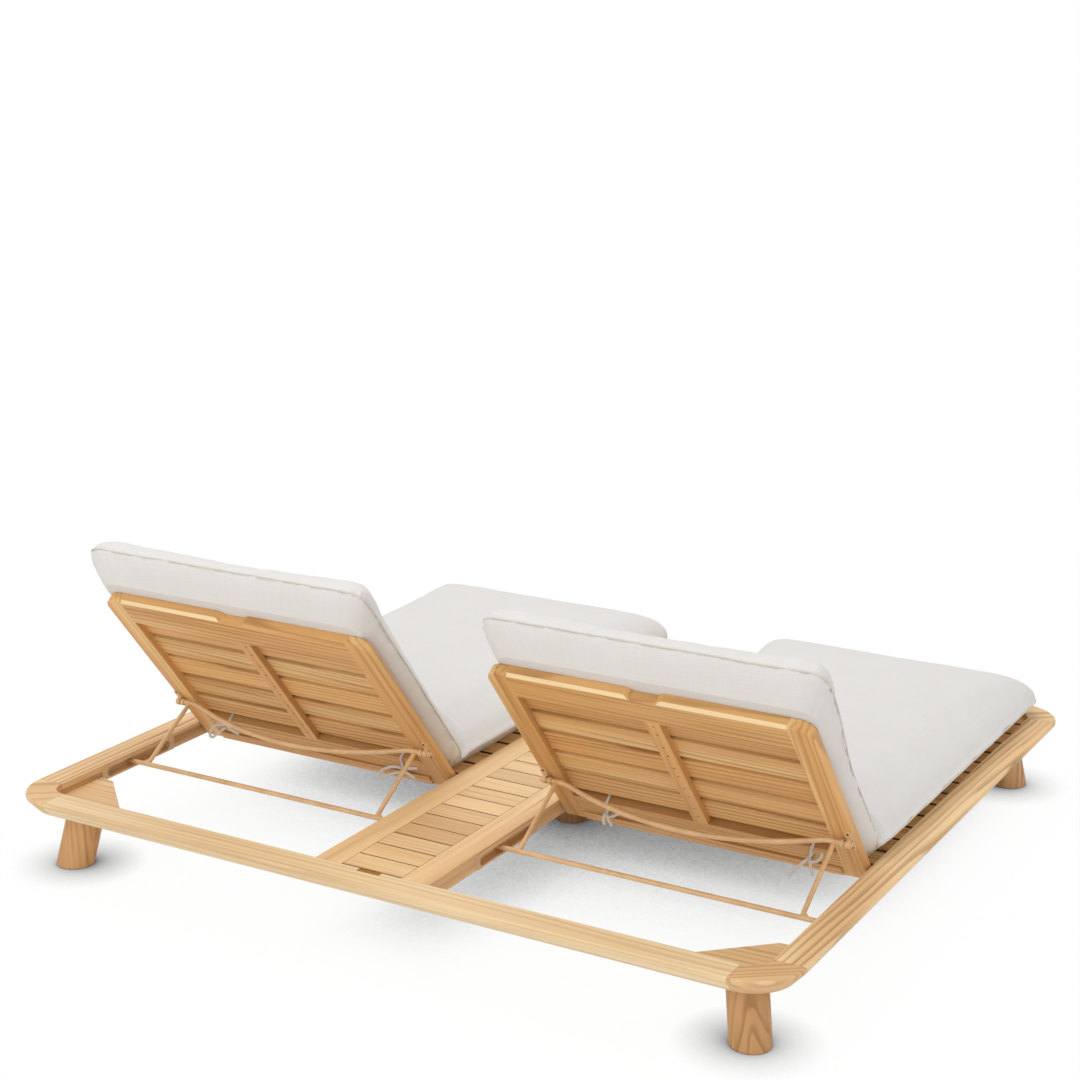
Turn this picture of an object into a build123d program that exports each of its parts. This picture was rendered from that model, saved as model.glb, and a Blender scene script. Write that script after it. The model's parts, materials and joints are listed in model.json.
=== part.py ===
from build123d import *
from math import asin, atan, cos, degrees, radians, sin, tan
import os

# A double chaise lounger. A low timber frame on five round legs carries two
# mattresses side by side. Each lounger has its own reclining backrest, held up
# by a welded rod stay whose cross rod slides in slots in the rails.
# The origin is on the floor under the middle of the frame. X runs across the
# two loungers, +Y runs from the head end to the foot end, and Z is up.
# Sizes are in millimetres, and angles in degrees.

# Frame
INNER_HALF_WIDTH = 981.0
INNER_HALF_LENGTH = 930.0
RAIL_WIDTH = 76.0
RAIL_DEPTH = 42.0
RAIL_TOP = 202.0
RAIL_LIP_DEPTH = 11.5
RAIL_UNDERSIDE_WIDTH = 48.0
RAIL_ROUNDING = 6.0
CORNER_RADIUS = 50.0
SPINE_HALF_WIDTH = 157.0
SPINE_PANEL_HALF_WIDTH = 83.5
EDGE_EASING = 2.0

# Legs, and the plates and bearer above them
LEG_RADIUS = 47.0
LEG_SPLAY = 0.175
LEG_FOOT_X = 940.0
LEG_FOOT_Y = 888.0
GUSSET_TOP = 172.0
GUSSET_THICKNESS = 20.0
GUSSET_ARM_X = 242.0
GUSSET_ARM_Y = 195.0
GUSSET_TIP_X = 46.0
GUSSET_TIP_Y = 190.0
CENTRE_LEG_Y = 30.0
CENTRE_LEG_RADIUS = 45.0
CENTRE_BEARER_LENGTH = 120.0
STUD_RADIUS = 5.0
STUD_LENGTH = 52.0
STUD_IN_PLATE = 12.0

# Slats
SPINE_SLAT_THICKNESS = 20.0
SPINE_SLAT_PITCH = 71.7
SPINE_FIRST_GAP = -854.5
SPINE_SLAT_GAP = 2.4
SPINE_SLAT_EASING = 0.5
SPINE_LEDGER_WIDTH = 15.0
SPINE_LEDGER_DEPTH = 16.0
SEAT_TOP = 190.0
SEAT_SLAT_PITCH = 87.08
SEAT_FIRST_GAP = -276.1
SEAT_SLAT_GAP = 11.0
SEAT_LEDGER_WIDTH = 20.0

# Slots for the stays
SLOT_FRONT = -458.0
SLOT_BACK = -710.0
SLOT_LOW = 165.0
SLOT_HIGH = 190.0
SLOT_PLATE_THICKNESS = 3.0
SLOT_PLATE_END = 18.0
SLOT_PLATE_TOP = 197.0
SLOT_PLATE_ROUNDING = 6.0
POCKET_DEPTH = 20.0
POCKET_MARGIN = 1.5
SLOT_SCREW_INSET = 9.0
SLOT_SCREW_MIDDLE_Y = -612.0
SLOT_SCREW_MIDDLE_Z = 162.6
SLOT_SCREW_RADIUS = 1.4
SLOT_SCREW_HEAD_RADIUS = 2.2
SLOT_SCREW_HEAD_HEIGHT = 1.0
SLOT_SCREW_LENGTH = 16.0

# Backrests: heights up the back are measured from the hinge axis
HINGE_Y = -301.0
HINGE_Z = 178.0
REST_ANGLE = 50.4
HIGHEST_ANGLE = 65.4
BACK_FRONT = 16.0
BACK_REAR = 12.0
BACK_INNER_X = 165.0
BACK_OUTER_X = 973.5
BACK_HEIGHT = 622.0
STILE_WIDTH = 56.7
STILE_FOOT = 12.0
STILE_CORNER_RADIUS = 38.0
STILE_EASING = 3.0
TOP_RAIL_HEIGHT = 90.0
TOP_RAIL_CHAMFER = 7.5
HAND_HOLD_HALF_WIDTH = 50.0
HAND_HOLD_DEPTH = 11.0
HAND_HOLD_OGEE = 26.0
BACK_SLAT_THICKNESS = 12.0
BACK_SLAT_PITCH = 89.3
BACK_SLAT_COUNT = 5
BACK_FIRST_SLAT = 105.4
BACK_SLAT_GAP = 16.5
BOTTOM_RAIL_TOP = 94.0
BOTTOM_LIP_FOOT = -7.0
BOTTOM_LIP_TOP = 27.0
BOTTOM_LIP_PROUD = 5.0
BOTTOM_LIP_END_INSET = 6.0
BATTEN_WIDTH = 38.0
PIN_RADIUS = 5.0
PIN_CLEARANCE = 0.05
PIN_IN_RAIL = 25.0
PIN_IN_STILE = 40.0
PIN_END_GAP = 1.0

# Screws in the backrests
SCREW_RADIUS = 1.6
SCREW_HEAD_RADIUS = 2.8
SCREW_HEAD_HEIGHT = 1.4
SCREW_RECESS = 2.2
BATTEN_SCREW_LENGTH = 20.0
BATTEN_SCREW_SPREAD = 22.0
BATTEN_SCREW_SHARE = 0.25
STRAP_SCREW_LENGTH = 16.0

# Stays and the brackets that hold them
ROD_RADIUS = 6.25
ROD_END_EASING = 1.0
STRUT_RADIUS = 5.75
PIVOT_HEIGHT = 170.0
PIVOT_BEHIND = 24.0
STAY_LENGTH = 214.0
CROSS_ROD_Z = 177.0
BOW_INNER_END = 162.0
BOW_OUTER_END = 973.0
BOW_STRAIGHT = 53.0
BOW_SAG = 60.0
BOW_BEND_RADIUS = 80.0
CROSS_INNER_END = 145.0
CROSS_OUTER_END = 993.0
STRUT_INNER_X = 205.0
STRUT_OUTER_X = 930.0
WELD_GUSSET_SIZE = 22.0
WELD_GUSSET_THICKNESS = 3.0
RING_INNER_X = 173.0
RING_OUTER_X = 965.0
RING_WIDTH = 10.0
RING_RADIUS = 9.5
COLLAR_RADIUS = 9.0
COLLAR_WIDTH = 8.0
COLLAR_DISTANCE = 15.0
STRAP_THICKNESS = 3.0
STRAP_WIDTH = 16.0
STRAP_REACH = 36.0
STRAP_SCREW_REACH = 29.0

# Mattresses, each in a seat half and a back half
CUSHION_BASE_INNER_X = 190.0
CUSHION_BASE_OUTER_X = 960.0
CUSHION_SEAM_INNER_X = 160.0
CUSHION_SEAM_OUTER_X = 994.0
CUSHION_CORNER_RADIUS = 55.0
CUSHION_FOLD_CORNER_RADIUS = 14.0
CUSHION_FOLD_CLEARANCE = 9.5
SEAT_SEAM_HEIGHT = 53.0
SEAT_CUSHION_BASE_END = 915.0
SEAT_CUSHION_SEAM_END = 948.0
SEAT_CROWN_HEIGHT = 70.0
SEAT_CROWN_REACH = 92.0
SEAT_DOME_HEIGHT = 18.0
BACK_SEAM_HEIGHT = 49.0
BACK_CUSHION_BASE_END = 712.0
BACK_CUSHION_SEAM_END = 733.0
BACK_CROWN_HEIGHT = 57.0
BACK_CROWN_REACH = 62.0
BACK_DOME_HEIGHT = 16.0
DOME_REACH = 150.0
DOME_STEPS = ((0.7, 1.0), (1.0, 1.6))
SIDE_STEPS = 3
CROWN_STEPS = 4

# Tape ties that hold each mattress to the bottom rail of its backrest
TIE_INNER_X = 300.0
TIE_OUTER_X = 857.0
TIE_WIDTH = 8.0
TIE_THICKNESS = 1.4
TIE_KNOT_HEIGHT = 66.0
TIE_KNOT_RADIUS = 5.5
TIE_LOOP_HALF_LENGTH = 24.0
TIE_LOOP_HALF_WIDTH = 7.0
TIE_LOOP_SLOPE = 32.0
TIE_TAIL_LENGTH = 46.0
TIE_TAIL_SLOPES = (26.0, 58.0)
TIE_BOW_THICKNESS = 3.0

# Label plate, left bare
LABEL_HALF_WIDTH = 30.0
LABEL_DEPTH = 13.0
LABEL_THICKNESS = 1.0

# Worked out from the sizes above
SIDES = {"left": -1, "right": 1}
ENDS = {"head": -1, "foot": 1}
RAIL_BOTTOM = RAIL_TOP - RAIL_DEPTH
GUSSET_BOTTOM = GUSSET_TOP - GUSSET_THICKNESS
SPINE_SLAT_BOTTOM = RAIL_TOP - SPINE_SLAT_THICKNESS
BACK_THICKNESS = BACK_FRONT + BACK_REAR
BACK_MIDDLE_X = (BACK_INNER_X + BACK_OUTER_X) / 2
PANEL_INNER_X = BACK_INNER_X + STILE_WIDTH
PANEL_OUTER_X = BACK_OUTER_X - STILE_WIDTH
PANEL_HALF_WIDTH = (PANEL_OUTER_X - PANEL_INNER_X) / 2
TOP_RAIL_FOOT = BACK_HEIGHT - TOP_RAIL_HEIGHT
SLAT_BACK = BACK_SLAT_THICKNESS - BACK_FRONT
SLOT_SCREWS = (
    (SLOT_BACK - SLOT_SCREW_INSET, (SLOT_LOW + SLOT_HIGH) / 2),
    (SLOT_SCREW_MIDDLE_Y, SLOT_SCREW_MIDDLE_Z),
    (SLOT_FRONT + SLOT_SCREW_INSET, (SLOT_LOW + SLOT_HIGH) / 2),
)

UP = Vector(0, 0, 1)
ALONG_X = Vector(1, 0, 0)
lean = radians(REST_ANGLE)
UP_THE_BACK = Vector(0, -cos(lean), sin(lean))
BEHIND_THE_BACK = Vector(0, -sin(lean), -cos(lean))
HINGE = Vector(0, HINGE_Y, HINGE_Z)
PIVOT = HINGE + UP_THE_BACK * PIVOT_HEIGHT + BEHIND_THE_BACK * PIVOT_BEHIND
stay_slope = asin((PIVOT.Z - CROSS_ROD_Z) / STAY_LENGTH)
DOWN_THE_STAY = Vector(0, -cos(stay_slope), -sin(stay_slope))
CROSS_ROD = PIVOT + DOWN_THE_STAY * STAY_LENGTH

# Planes that the pieces are drawn on. On the back plane x is X, y runs up the
# back from the hinge, and the normal points behind it.
back_plane = Plane(origin=HINGE, x_dir=ALONG_X, z_dir=BEHIND_THE_BACK)
seat_plane = Plane(origin=HINGE, x_dir=ALONG_X, z_dir=UP)
stay_plane = Plane(origin=PIVOT, x_dir=ALONG_X, z_dir=ALONG_X.cross(DOWN_THE_STAY))


def across_plane(origin, x):
    """A plane square to X: its x runs up the back and its y runs behind it."""
    return Plane(origin=origin + ALONG_X * x, x_dir=UP_THE_BACK, z_dir=ALONG_X)


def leg_plane(side, end):
    """The plane at a corner leg's foot, square to the splayed leg."""
    foot = (side * LEG_FOOT_X, end * LEG_FOOT_Y, 0)
    return Plane(origin=foot, z_dir=(-side * LEG_SPLAY, -end * LEG_SPLAY, 1))


def save(piece, label):
    """Name a finished piece and write it."""
    piece.part.label = label
    export_step(piece.part, f"parts/{label}.step")


def rail_section():
    """The section of the outer rails, from the inner top edge outwards and down."""
    with BuildSketch() as section:
        with BuildLine():
            Polyline(
                (0, -RAIL_DEPTH),
                (0, 0),
                (RAIL_WIDTH, 0),
                (RAIL_WIDTH, -RAIL_LIP_DEPTH),
                (RAIL_UNDERSIDE_WIDTH, -RAIL_DEPTH),
                close=True,
            )
        make_face()
        fillet(section.vertices().filter_by(lambda corner: corner.X > 0), radius=RAIL_ROUNDING)
    return section.sketch


def cut_rail_fittings(side, x, into):
    """Cut the stay pocket, the plate screw holes and the pin hole into a rail face at x."""
    slot_y = (SLOT_FRONT + SLOT_BACK) / 2
    slot_z = (SLOT_LOW + SLOT_HIGH) / 2
    length = SLOT_FRONT - SLOT_BACK + 2 * POCKET_MARGIN
    height = SLOT_HIGH - SLOT_LOW + 2 * POCKET_MARGIN
    with Locations((side * (x + into * POCKET_DEPTH / 2), slot_y, slot_z)):
        Box(POCKET_DEPTH, length, height, mode=Mode.SUBTRACT)
    depth = SLOT_SCREW_LENGTH - SLOT_PLATE_THICKNESS
    with Locations(*[(side * (x + into * depth / 2), y, z) for y, z in SLOT_SCREWS]):
        Cylinder(SLOT_SCREW_RADIUS, depth, rotation=(0, 90, 0), mode=Mode.SUBTRACT)
    with Locations((side * (x + into * PIN_IN_RAIL / 2), HINGE_Y, HINGE_Z)):
        Cylinder(PIN_RADIUS, PIN_IN_RAIL, rotation=(0, 90, 0), mode=Mode.SUBTRACT)


os.makedirs("parts", exist_ok=True)

# Outer frame: two end rails, two side rails and four turned corner blocks
rail_profile = rail_section()
straight_x = INNER_HALF_WIDTH - CORNER_RADIUS
straight_y = INNER_HALF_LENGTH - CORNER_RADIUS

for name, end in ENDS.items():
    start = Vector(-end * straight_x, end * INNER_HALF_LENGTH, RAIL_TOP)
    with BuildPart() as end_rail:
        with BuildSketch(Plane(origin=start, x_dir=(0, end, 0), z_dir=(end, 0, 0))):
            add(rail_profile)
        extrude(amount=2 * straight_x)
    save(end_rail, f"{name}_rail")

for name, side in SIDES.items():
    start = Vector(side * INNER_HALF_WIDTH, side * straight_y, RAIL_TOP)
    with BuildPart() as side_rail:
        with BuildSketch(Plane(origin=start, x_dir=(side, 0, 0), z_dir=(0, -side, 0))):
            add(rail_profile)
        extrude(amount=2 * straight_y)
        cut_rail_fittings(side, INNER_HALF_WIDTH, 1)
    save(side_rail, f"side_rail_{name}")

for side_name, side in SIDES.items():
    for end_name, end in ENDS.items():
        centre = Vector(side * straight_x, end * straight_y, RAIL_TOP)
        outwards = Vector(side, 0, 0) if side == end else Vector(0, end, 0)
        seam = Plane(origin=centre + outwards * CORNER_RADIUS, x_dir=outwards, z_dir=outwards.cross(UP))
        with BuildPart() as corner_block:
            with BuildSketch(seam):
                add(rail_profile)
            revolve(axis=Axis(centre, UP), revolution_arc=90)
        save(corner_block, f"corner_block_{end_name}_{side_name}")

# Corner plates, and the splayed legs screwed up into them
stud_foot = GUSSET_BOTTOM * (1 + 2 * LEG_SPLAY**2) ** 0.5 + STUD_IN_PLATE - STUD_LENGTH

for side_name, side in SIDES.items():
    for end_name, end in ENDS.items():
        foot_plane = leg_plane(side, end)
        with BuildPart() as gusset:
            with BuildSketch(Plane.XY.offset(GUSSET_BOTTOM)) as plate:
                corner_x = side * INNER_HALF_WIDTH
                corner_y = end * INNER_HALF_LENGTH
                with BuildLine():
                    Polyline(
                        (corner_x, corner_y),
                        (corner_x - side * GUSSET_ARM_X, corner_y),
                        (corner_x - side * GUSSET_TIP_X, corner_y - end * GUSSET_TIP_Y),
                        (corner_x, corner_y - end * GUSSET_ARM_Y),
                        close=True,
                    )
                make_face()
                corner = plate.vertices().sort_by_distance((corner_x, corner_y, 0))[0]
                fillet(corner, radius=CORNER_RADIUS)
            extrude(amount=GUSSET_THICKNESS)
            with BuildSketch(foot_plane.offset(stud_foot)):
                Circle(STUD_RADIUS)
            extrude(amount=STUD_LENGTH, mode=Mode.SUBTRACT)
        save(gusset, f"corner_gusset_{end_name}_{side_name}")

        with BuildPart() as leg:
            with BuildSketch(foot_plane):
                Circle(LEG_RADIUS)
            extrude(amount=RAIL_TOP, both=True)
            split(bisect_by=Plane.XY, keep=Keep.TOP)
            split(bisect_by=Plane.XY.offset(GUSSET_BOTTOM), keep=Keep.BOTTOM)
            chamfer(leg.edges().group_by(Axis.Z)[0], length=EDGE_EASING)
            with BuildSketch(foot_plane.offset(stud_foot)):
                Circle(STUD_RADIUS)
            extrude(amount=STUD_LENGTH, mode=Mode.SUBTRACT)
        save(leg, f"leg_{end_name}_{side_name}")

centre_stud_foot = RAIL_BOTTOM + STUD_IN_PLATE - STUD_LENGTH
centre_foot_plane = Plane(origin=(0, CENTRE_LEG_Y, 0))

with BuildPart() as centre_leg:
    with BuildSketch(centre_foot_plane):
        Circle(CENTRE_LEG_RADIUS)
    extrude(amount=RAIL_BOTTOM)
    chamfer(centre_leg.edges().group_by(Axis.Z)[0], length=EDGE_EASING)
    with BuildSketch(centre_foot_plane.offset(centre_stud_foot)):
        Circle(STUD_RADIUS)
    extrude(amount=STUD_LENGTH, mode=Mode.SUBTRACT)
save(centre_leg, "centre_leg")

with BuildPart() as leg_studs:
    for side in SIDES.values():
        for end in ENDS.values():
            with BuildSketch(leg_plane(side, end).offset(stud_foot)):
                Circle(STUD_RADIUS)
    with BuildSketch(centre_foot_plane.offset(centre_stud_foot)):
        Circle(STUD_RADIUS)
    extrude(amount=STUD_LENGTH)
save(leg_studs, "leg_studs")

# Spine between the two loungers
ledger_half_width = SPINE_PANEL_HALF_WIDTH - SPINE_LEDGER_WIDTH
ledger_x = ledger_half_width + SPINE_LEDGER_WIDTH / 2

with BuildPart() as centre_bearer:
    with BuildSketch(centre_foot_plane.offset(RAIL_BOTTOM)):
        Rectangle(2 * ledger_half_width, CENTRE_BEARER_LENGTH)
    extrude(amount=SPINE_SLAT_BOTTOM - RAIL_BOTTOM)
    with BuildSketch(centre_foot_plane.offset(RAIL_BOTTOM)):
        Circle(STUD_RADIUS)
    extrude(amount=STUD_IN_PLATE, mode=Mode.SUBTRACT)
save(centre_bearer, "centre_bearer")

spine_rail_width = SPINE_HALF_WIDTH - SPINE_PANEL_HALF_WIDTH
spine_rail_x = SPINE_PANEL_HALF_WIDTH + spine_rail_width / 2

for name, side in SIDES.items():
    with BuildPart() as spine_rail:
        with BuildSketch(Plane.XZ.offset(-INNER_HALF_LENGTH)) as section:
            with Locations((side * spine_rail_x, (RAIL_TOP + RAIL_BOTTOM) / 2)):
                Rectangle(spine_rail_width, RAIL_DEPTH)
            outer_edge = section.vertices().sort_by_distance((side * SPINE_HALF_WIDTH, RAIL_TOP, 0))[0]
            fillet(outer_edge, radius=EDGE_EASING)
        extrude(amount=2 * INNER_HALF_LENGTH)
        cut_rail_fittings(side, SPINE_HALF_WIDTH, -1)
    save(spine_rail, f"spine_rail_{name}")

with BuildPart() as spine_ledgers:
    with BuildSketch(Plane.XY.offset(SPINE_SLAT_BOTTOM - SPINE_LEDGER_DEPTH)):
        with Locations((-ledger_x, 0), (ledger_x, 0)):
            Rectangle(SPINE_LEDGER_WIDTH, 2 * INNER_HALF_LENGTH)
    extrude(amount=SPINE_LEDGER_DEPTH)
save(spine_ledgers, "spine_ledgers")


def slat_spans(start, first_gap, pitch, gap, end):
    """The start and end of each slat along Y, with a gap every pitch from the first gap."""
    spans = []
    low = start
    middle = first_gap
    while middle < end:
        spans.append((low, middle - gap / 2))
        low = middle + gap / 2
        middle += pitch
    spans.append((low, end))
    return spans


def slat_ends(spans, bottom, top, easing):
    """The end sections of a row of slats, with the edges at the section's top eased."""
    with BuildSketch() as sections:
        for low, high in spans:
            with Locations(((low + high) / 2, (bottom + top) / 2)):
                Rectangle(high - low, top - bottom)
        fillet(sections.vertices().group_by(Axis.Y)[-1], radius=easing)
    return sections.sketch


spine_start = -INNER_HALF_LENGTH + SPINE_SLAT_GAP
spine_spans = slat_spans(
    spine_start, SPINE_FIRST_GAP, SPINE_SLAT_PITCH, SPINE_SLAT_GAP, INNER_HALF_LENGTH
)
spine_slat_ends = slat_ends(spine_spans, SPINE_SLAT_BOTTOM, RAIL_TOP, SPINE_SLAT_EASING)

with BuildPart() as spine_slats:
    with BuildSketch(Plane.YZ.offset(-SPINE_PANEL_HALF_WIDTH)):
        add(spine_slat_ends)
    extrude(amount=2 * SPINE_PANEL_HALF_WIDTH)
save(spine_slats, "spine_slats")

# Seats: slats that rest on a ledger along the spine and one along the side rail
first_slat = SEAT_FIRST_GAP + SEAT_SLAT_GAP / 2
seat_spans = slat_spans(
    first_slat, SEAT_FIRST_GAP + SEAT_SLAT_PITCH, SEAT_SLAT_PITCH, SEAT_SLAT_GAP, INNER_HALF_LENGTH
)
seat_slat_ends = slat_ends(seat_spans, GUSSET_TOP, SEAT_TOP, EDGE_EASING)
seat_slat_length = INNER_HALF_WIDTH - SPINE_HALF_WIDTH
outer_ledger_end = INNER_HALF_LENGTH - GUSSET_ARM_Y

for name, side in SIDES.items():
    with BuildPart() as seat_slats:
        with BuildSketch(Plane.YZ.offset(side * SPINE_HALF_WIDTH)):
            add(seat_slat_ends)
        extrude(amount=side * seat_slat_length)
        with BuildSketch(Plane.XY.offset(GUSSET_TOP)):
            with Locations((side * (straight_x + CORNER_RADIUS / 2), straight_y + CORNER_RADIUS / 2)):
                Rectangle(CORNER_RADIUS, CORNER_RADIUS)
            with Locations((side * straight_x, straight_y)):
                Circle(CORNER_RADIUS, mode=Mode.SUBTRACT)
        extrude(amount=SEAT_TOP - GUSSET_TOP, mode=Mode.SUBTRACT)
    save(seat_slats, f"seat_slats_{name}")

    with BuildPart() as seat_ledgers:
        with BuildSketch(Plane.XY.offset(RAIL_BOTTOM)):
            for middle_x, end in (
                (SPINE_HALF_WIDTH + SEAT_LEDGER_WIDTH / 2, INNER_HALF_LENGTH),
                (INNER_HALF_WIDTH - SEAT_LEDGER_WIDTH / 2, outer_ledger_end),
            ):
                with Locations((side * middle_x, (first_slat + end) / 2)):
                    Rectangle(SEAT_LEDGER_WIDTH, end - first_slat)
        extrude(amount=GUSSET_TOP - RAIL_BOTTOM)
    save(seat_ledgers, f"seat_ledgers_{name}")

# Slot plates, on the spine's outer faces and on the side rails' inner faces
plate_length = SLOT_FRONT - SLOT_BACK + 2 * SLOT_PLATE_END
slot_middle = ((SLOT_FRONT + SLOT_BACK) / 2, (SLOT_LOW + SLOT_HIGH) / 2)

for name, side in SIDES.items():
    with BuildPart() as slot_plates:
        for face_x, outwards in ((SPINE_HALF_WIDTH, 1), (INNER_HALF_WIDTH, -1)):
            with BuildSketch(Plane.YZ.offset(side * face_x)):
                with Locations((slot_middle[0], (RAIL_BOTTOM + SLOT_PLATE_TOP) / 2)):
                    RectangleRounded(plate_length, SLOT_PLATE_TOP - RAIL_BOTTOM, SLOT_PLATE_ROUNDING)
                with Locations(slot_middle):
                    SlotOverall(SLOT_FRONT - SLOT_BACK, SLOT_HIGH - SLOT_LOW, mode=Mode.SUBTRACT)
                with Locations(*SLOT_SCREWS):
                    Circle(SLOT_SCREW_RADIUS, mode=Mode.SUBTRACT)
            extrude(amount=side * outwards * SLOT_PLATE_THICKNESS)
    save(slot_plates, f"slot_plates_{name}")

with BuildPart() as slot_plate_screws:
    for side in SIDES.values():
        for face_x, outwards in ((SPINE_HALF_WIDTH, 1), (INNER_HALF_WIDTH, -1)):
            seat_x = side * (face_x + outwards * SLOT_PLATE_THICKNESS)
            with BuildSketch(Plane.YZ.offset(seat_x)):
                with Locations(*SLOT_SCREWS):
                    Circle(SLOT_SCREW_HEAD_RADIUS)
            extrude(amount=side * outwards * SLOT_SCREW_HEAD_HEIGHT)
            with BuildSketch(Plane.YZ.offset(seat_x)):
                with Locations(*SLOT_SCREWS):
                    Circle(SLOT_SCREW_RADIUS)
            extrude(amount=-side * outwards * SLOT_SCREW_LENGTH)
save(slot_plate_screws, "slot_plate_screws")

with BuildPart() as label_plate:
    with BuildSketch(Plane.XY.offset(RAIL_TOP)):
        with Locations((0, -INNER_HALF_LENGTH - EDGE_EASING - LABEL_DEPTH / 2)):
            Rectangle(2 * LABEL_HALF_WIDTH, LABEL_DEPTH)
    extrude(amount=LABEL_THICKNESS)
save(label_plate, "label_plate")

with BuildPart() as hinge_pins:
    for side in SIDES.values():
        for start, finish in (
            (SPINE_HALF_WIDTH - PIN_IN_RAIL, BACK_INNER_X + PIN_IN_STILE - PIN_END_GAP),
            (BACK_OUTER_X - PIN_IN_STILE + PIN_END_GAP, INNER_HALF_WIDTH + PIN_IN_RAIL),
        ):
            with BuildSketch(Plane.YZ.offset(side * start)):
                with Locations((HINGE_Y, HINGE_Z)):
                    Circle(PIN_RADIUS)
            extrude(amount=side * (finish - start))
save(hinge_pins, "hinge_pins")

# Backrests
slat_feet = [BACK_FIRST_SLAT + i * BACK_SLAT_PITCH for i in range(BACK_SLAT_COUNT)]
slat_tops = [foot - BACK_SLAT_GAP for foot in slat_feet[1:]] + [TOP_RAIL_FOOT]
back_spans = list(zip(slat_feet, slat_tops))
back_slat_ends = slat_ends(back_spans, -BACK_FRONT, SLAT_BACK, EDGE_EASING)


def batten_screw_heights():
    """Two screws for each back slat, closer together on the narrow top one."""
    heights = []
    for low, high in back_spans:
        spread = min(BATTEN_SCREW_SPREAD, (high - low) * BATTEN_SCREW_SHARE)
        heights += [(low + high) / 2 - spread, (low + high) / 2 + spread]
    return heights


def hand_hold_edge(middle):
    """The top rail's upper edge, from +x to -x, with its dip between two ogee curves."""
    radius = (HAND_HOLD_OGEE**2 + HAND_HOLD_DEPTH**2) / (4 * HAND_HOLD_DEPTH)
    turn = 2 * degrees(atan(HAND_HOLD_DEPTH / HAND_HOLD_OGEE))
    run_in = Line((middle + PANEL_HALF_WIDTH, BACK_HEIGHT), (middle + HAND_HOLD_HALF_WIDTH, BACK_HEIGHT))
    down = JernArc(run_in @ 1, run_in % 1, radius, turn)
    level = JernArc(down @ 1, down % 1, radius, -turn)
    low_height = BACK_HEIGHT - HAND_HOLD_DEPTH
    low = Line(level @ 1, (middle - HAND_HOLD_HALF_WIDTH + HAND_HOLD_OGEE, low_height))
    up = JernArc(low @ 1, low % 1, radius, -turn)
    flat = JernArc(up @ 1, up % 1, radius, turn)
    Line(flat @ 1, (middle - PANEL_HALF_WIDTH, BACK_HEIGHT))


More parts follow.
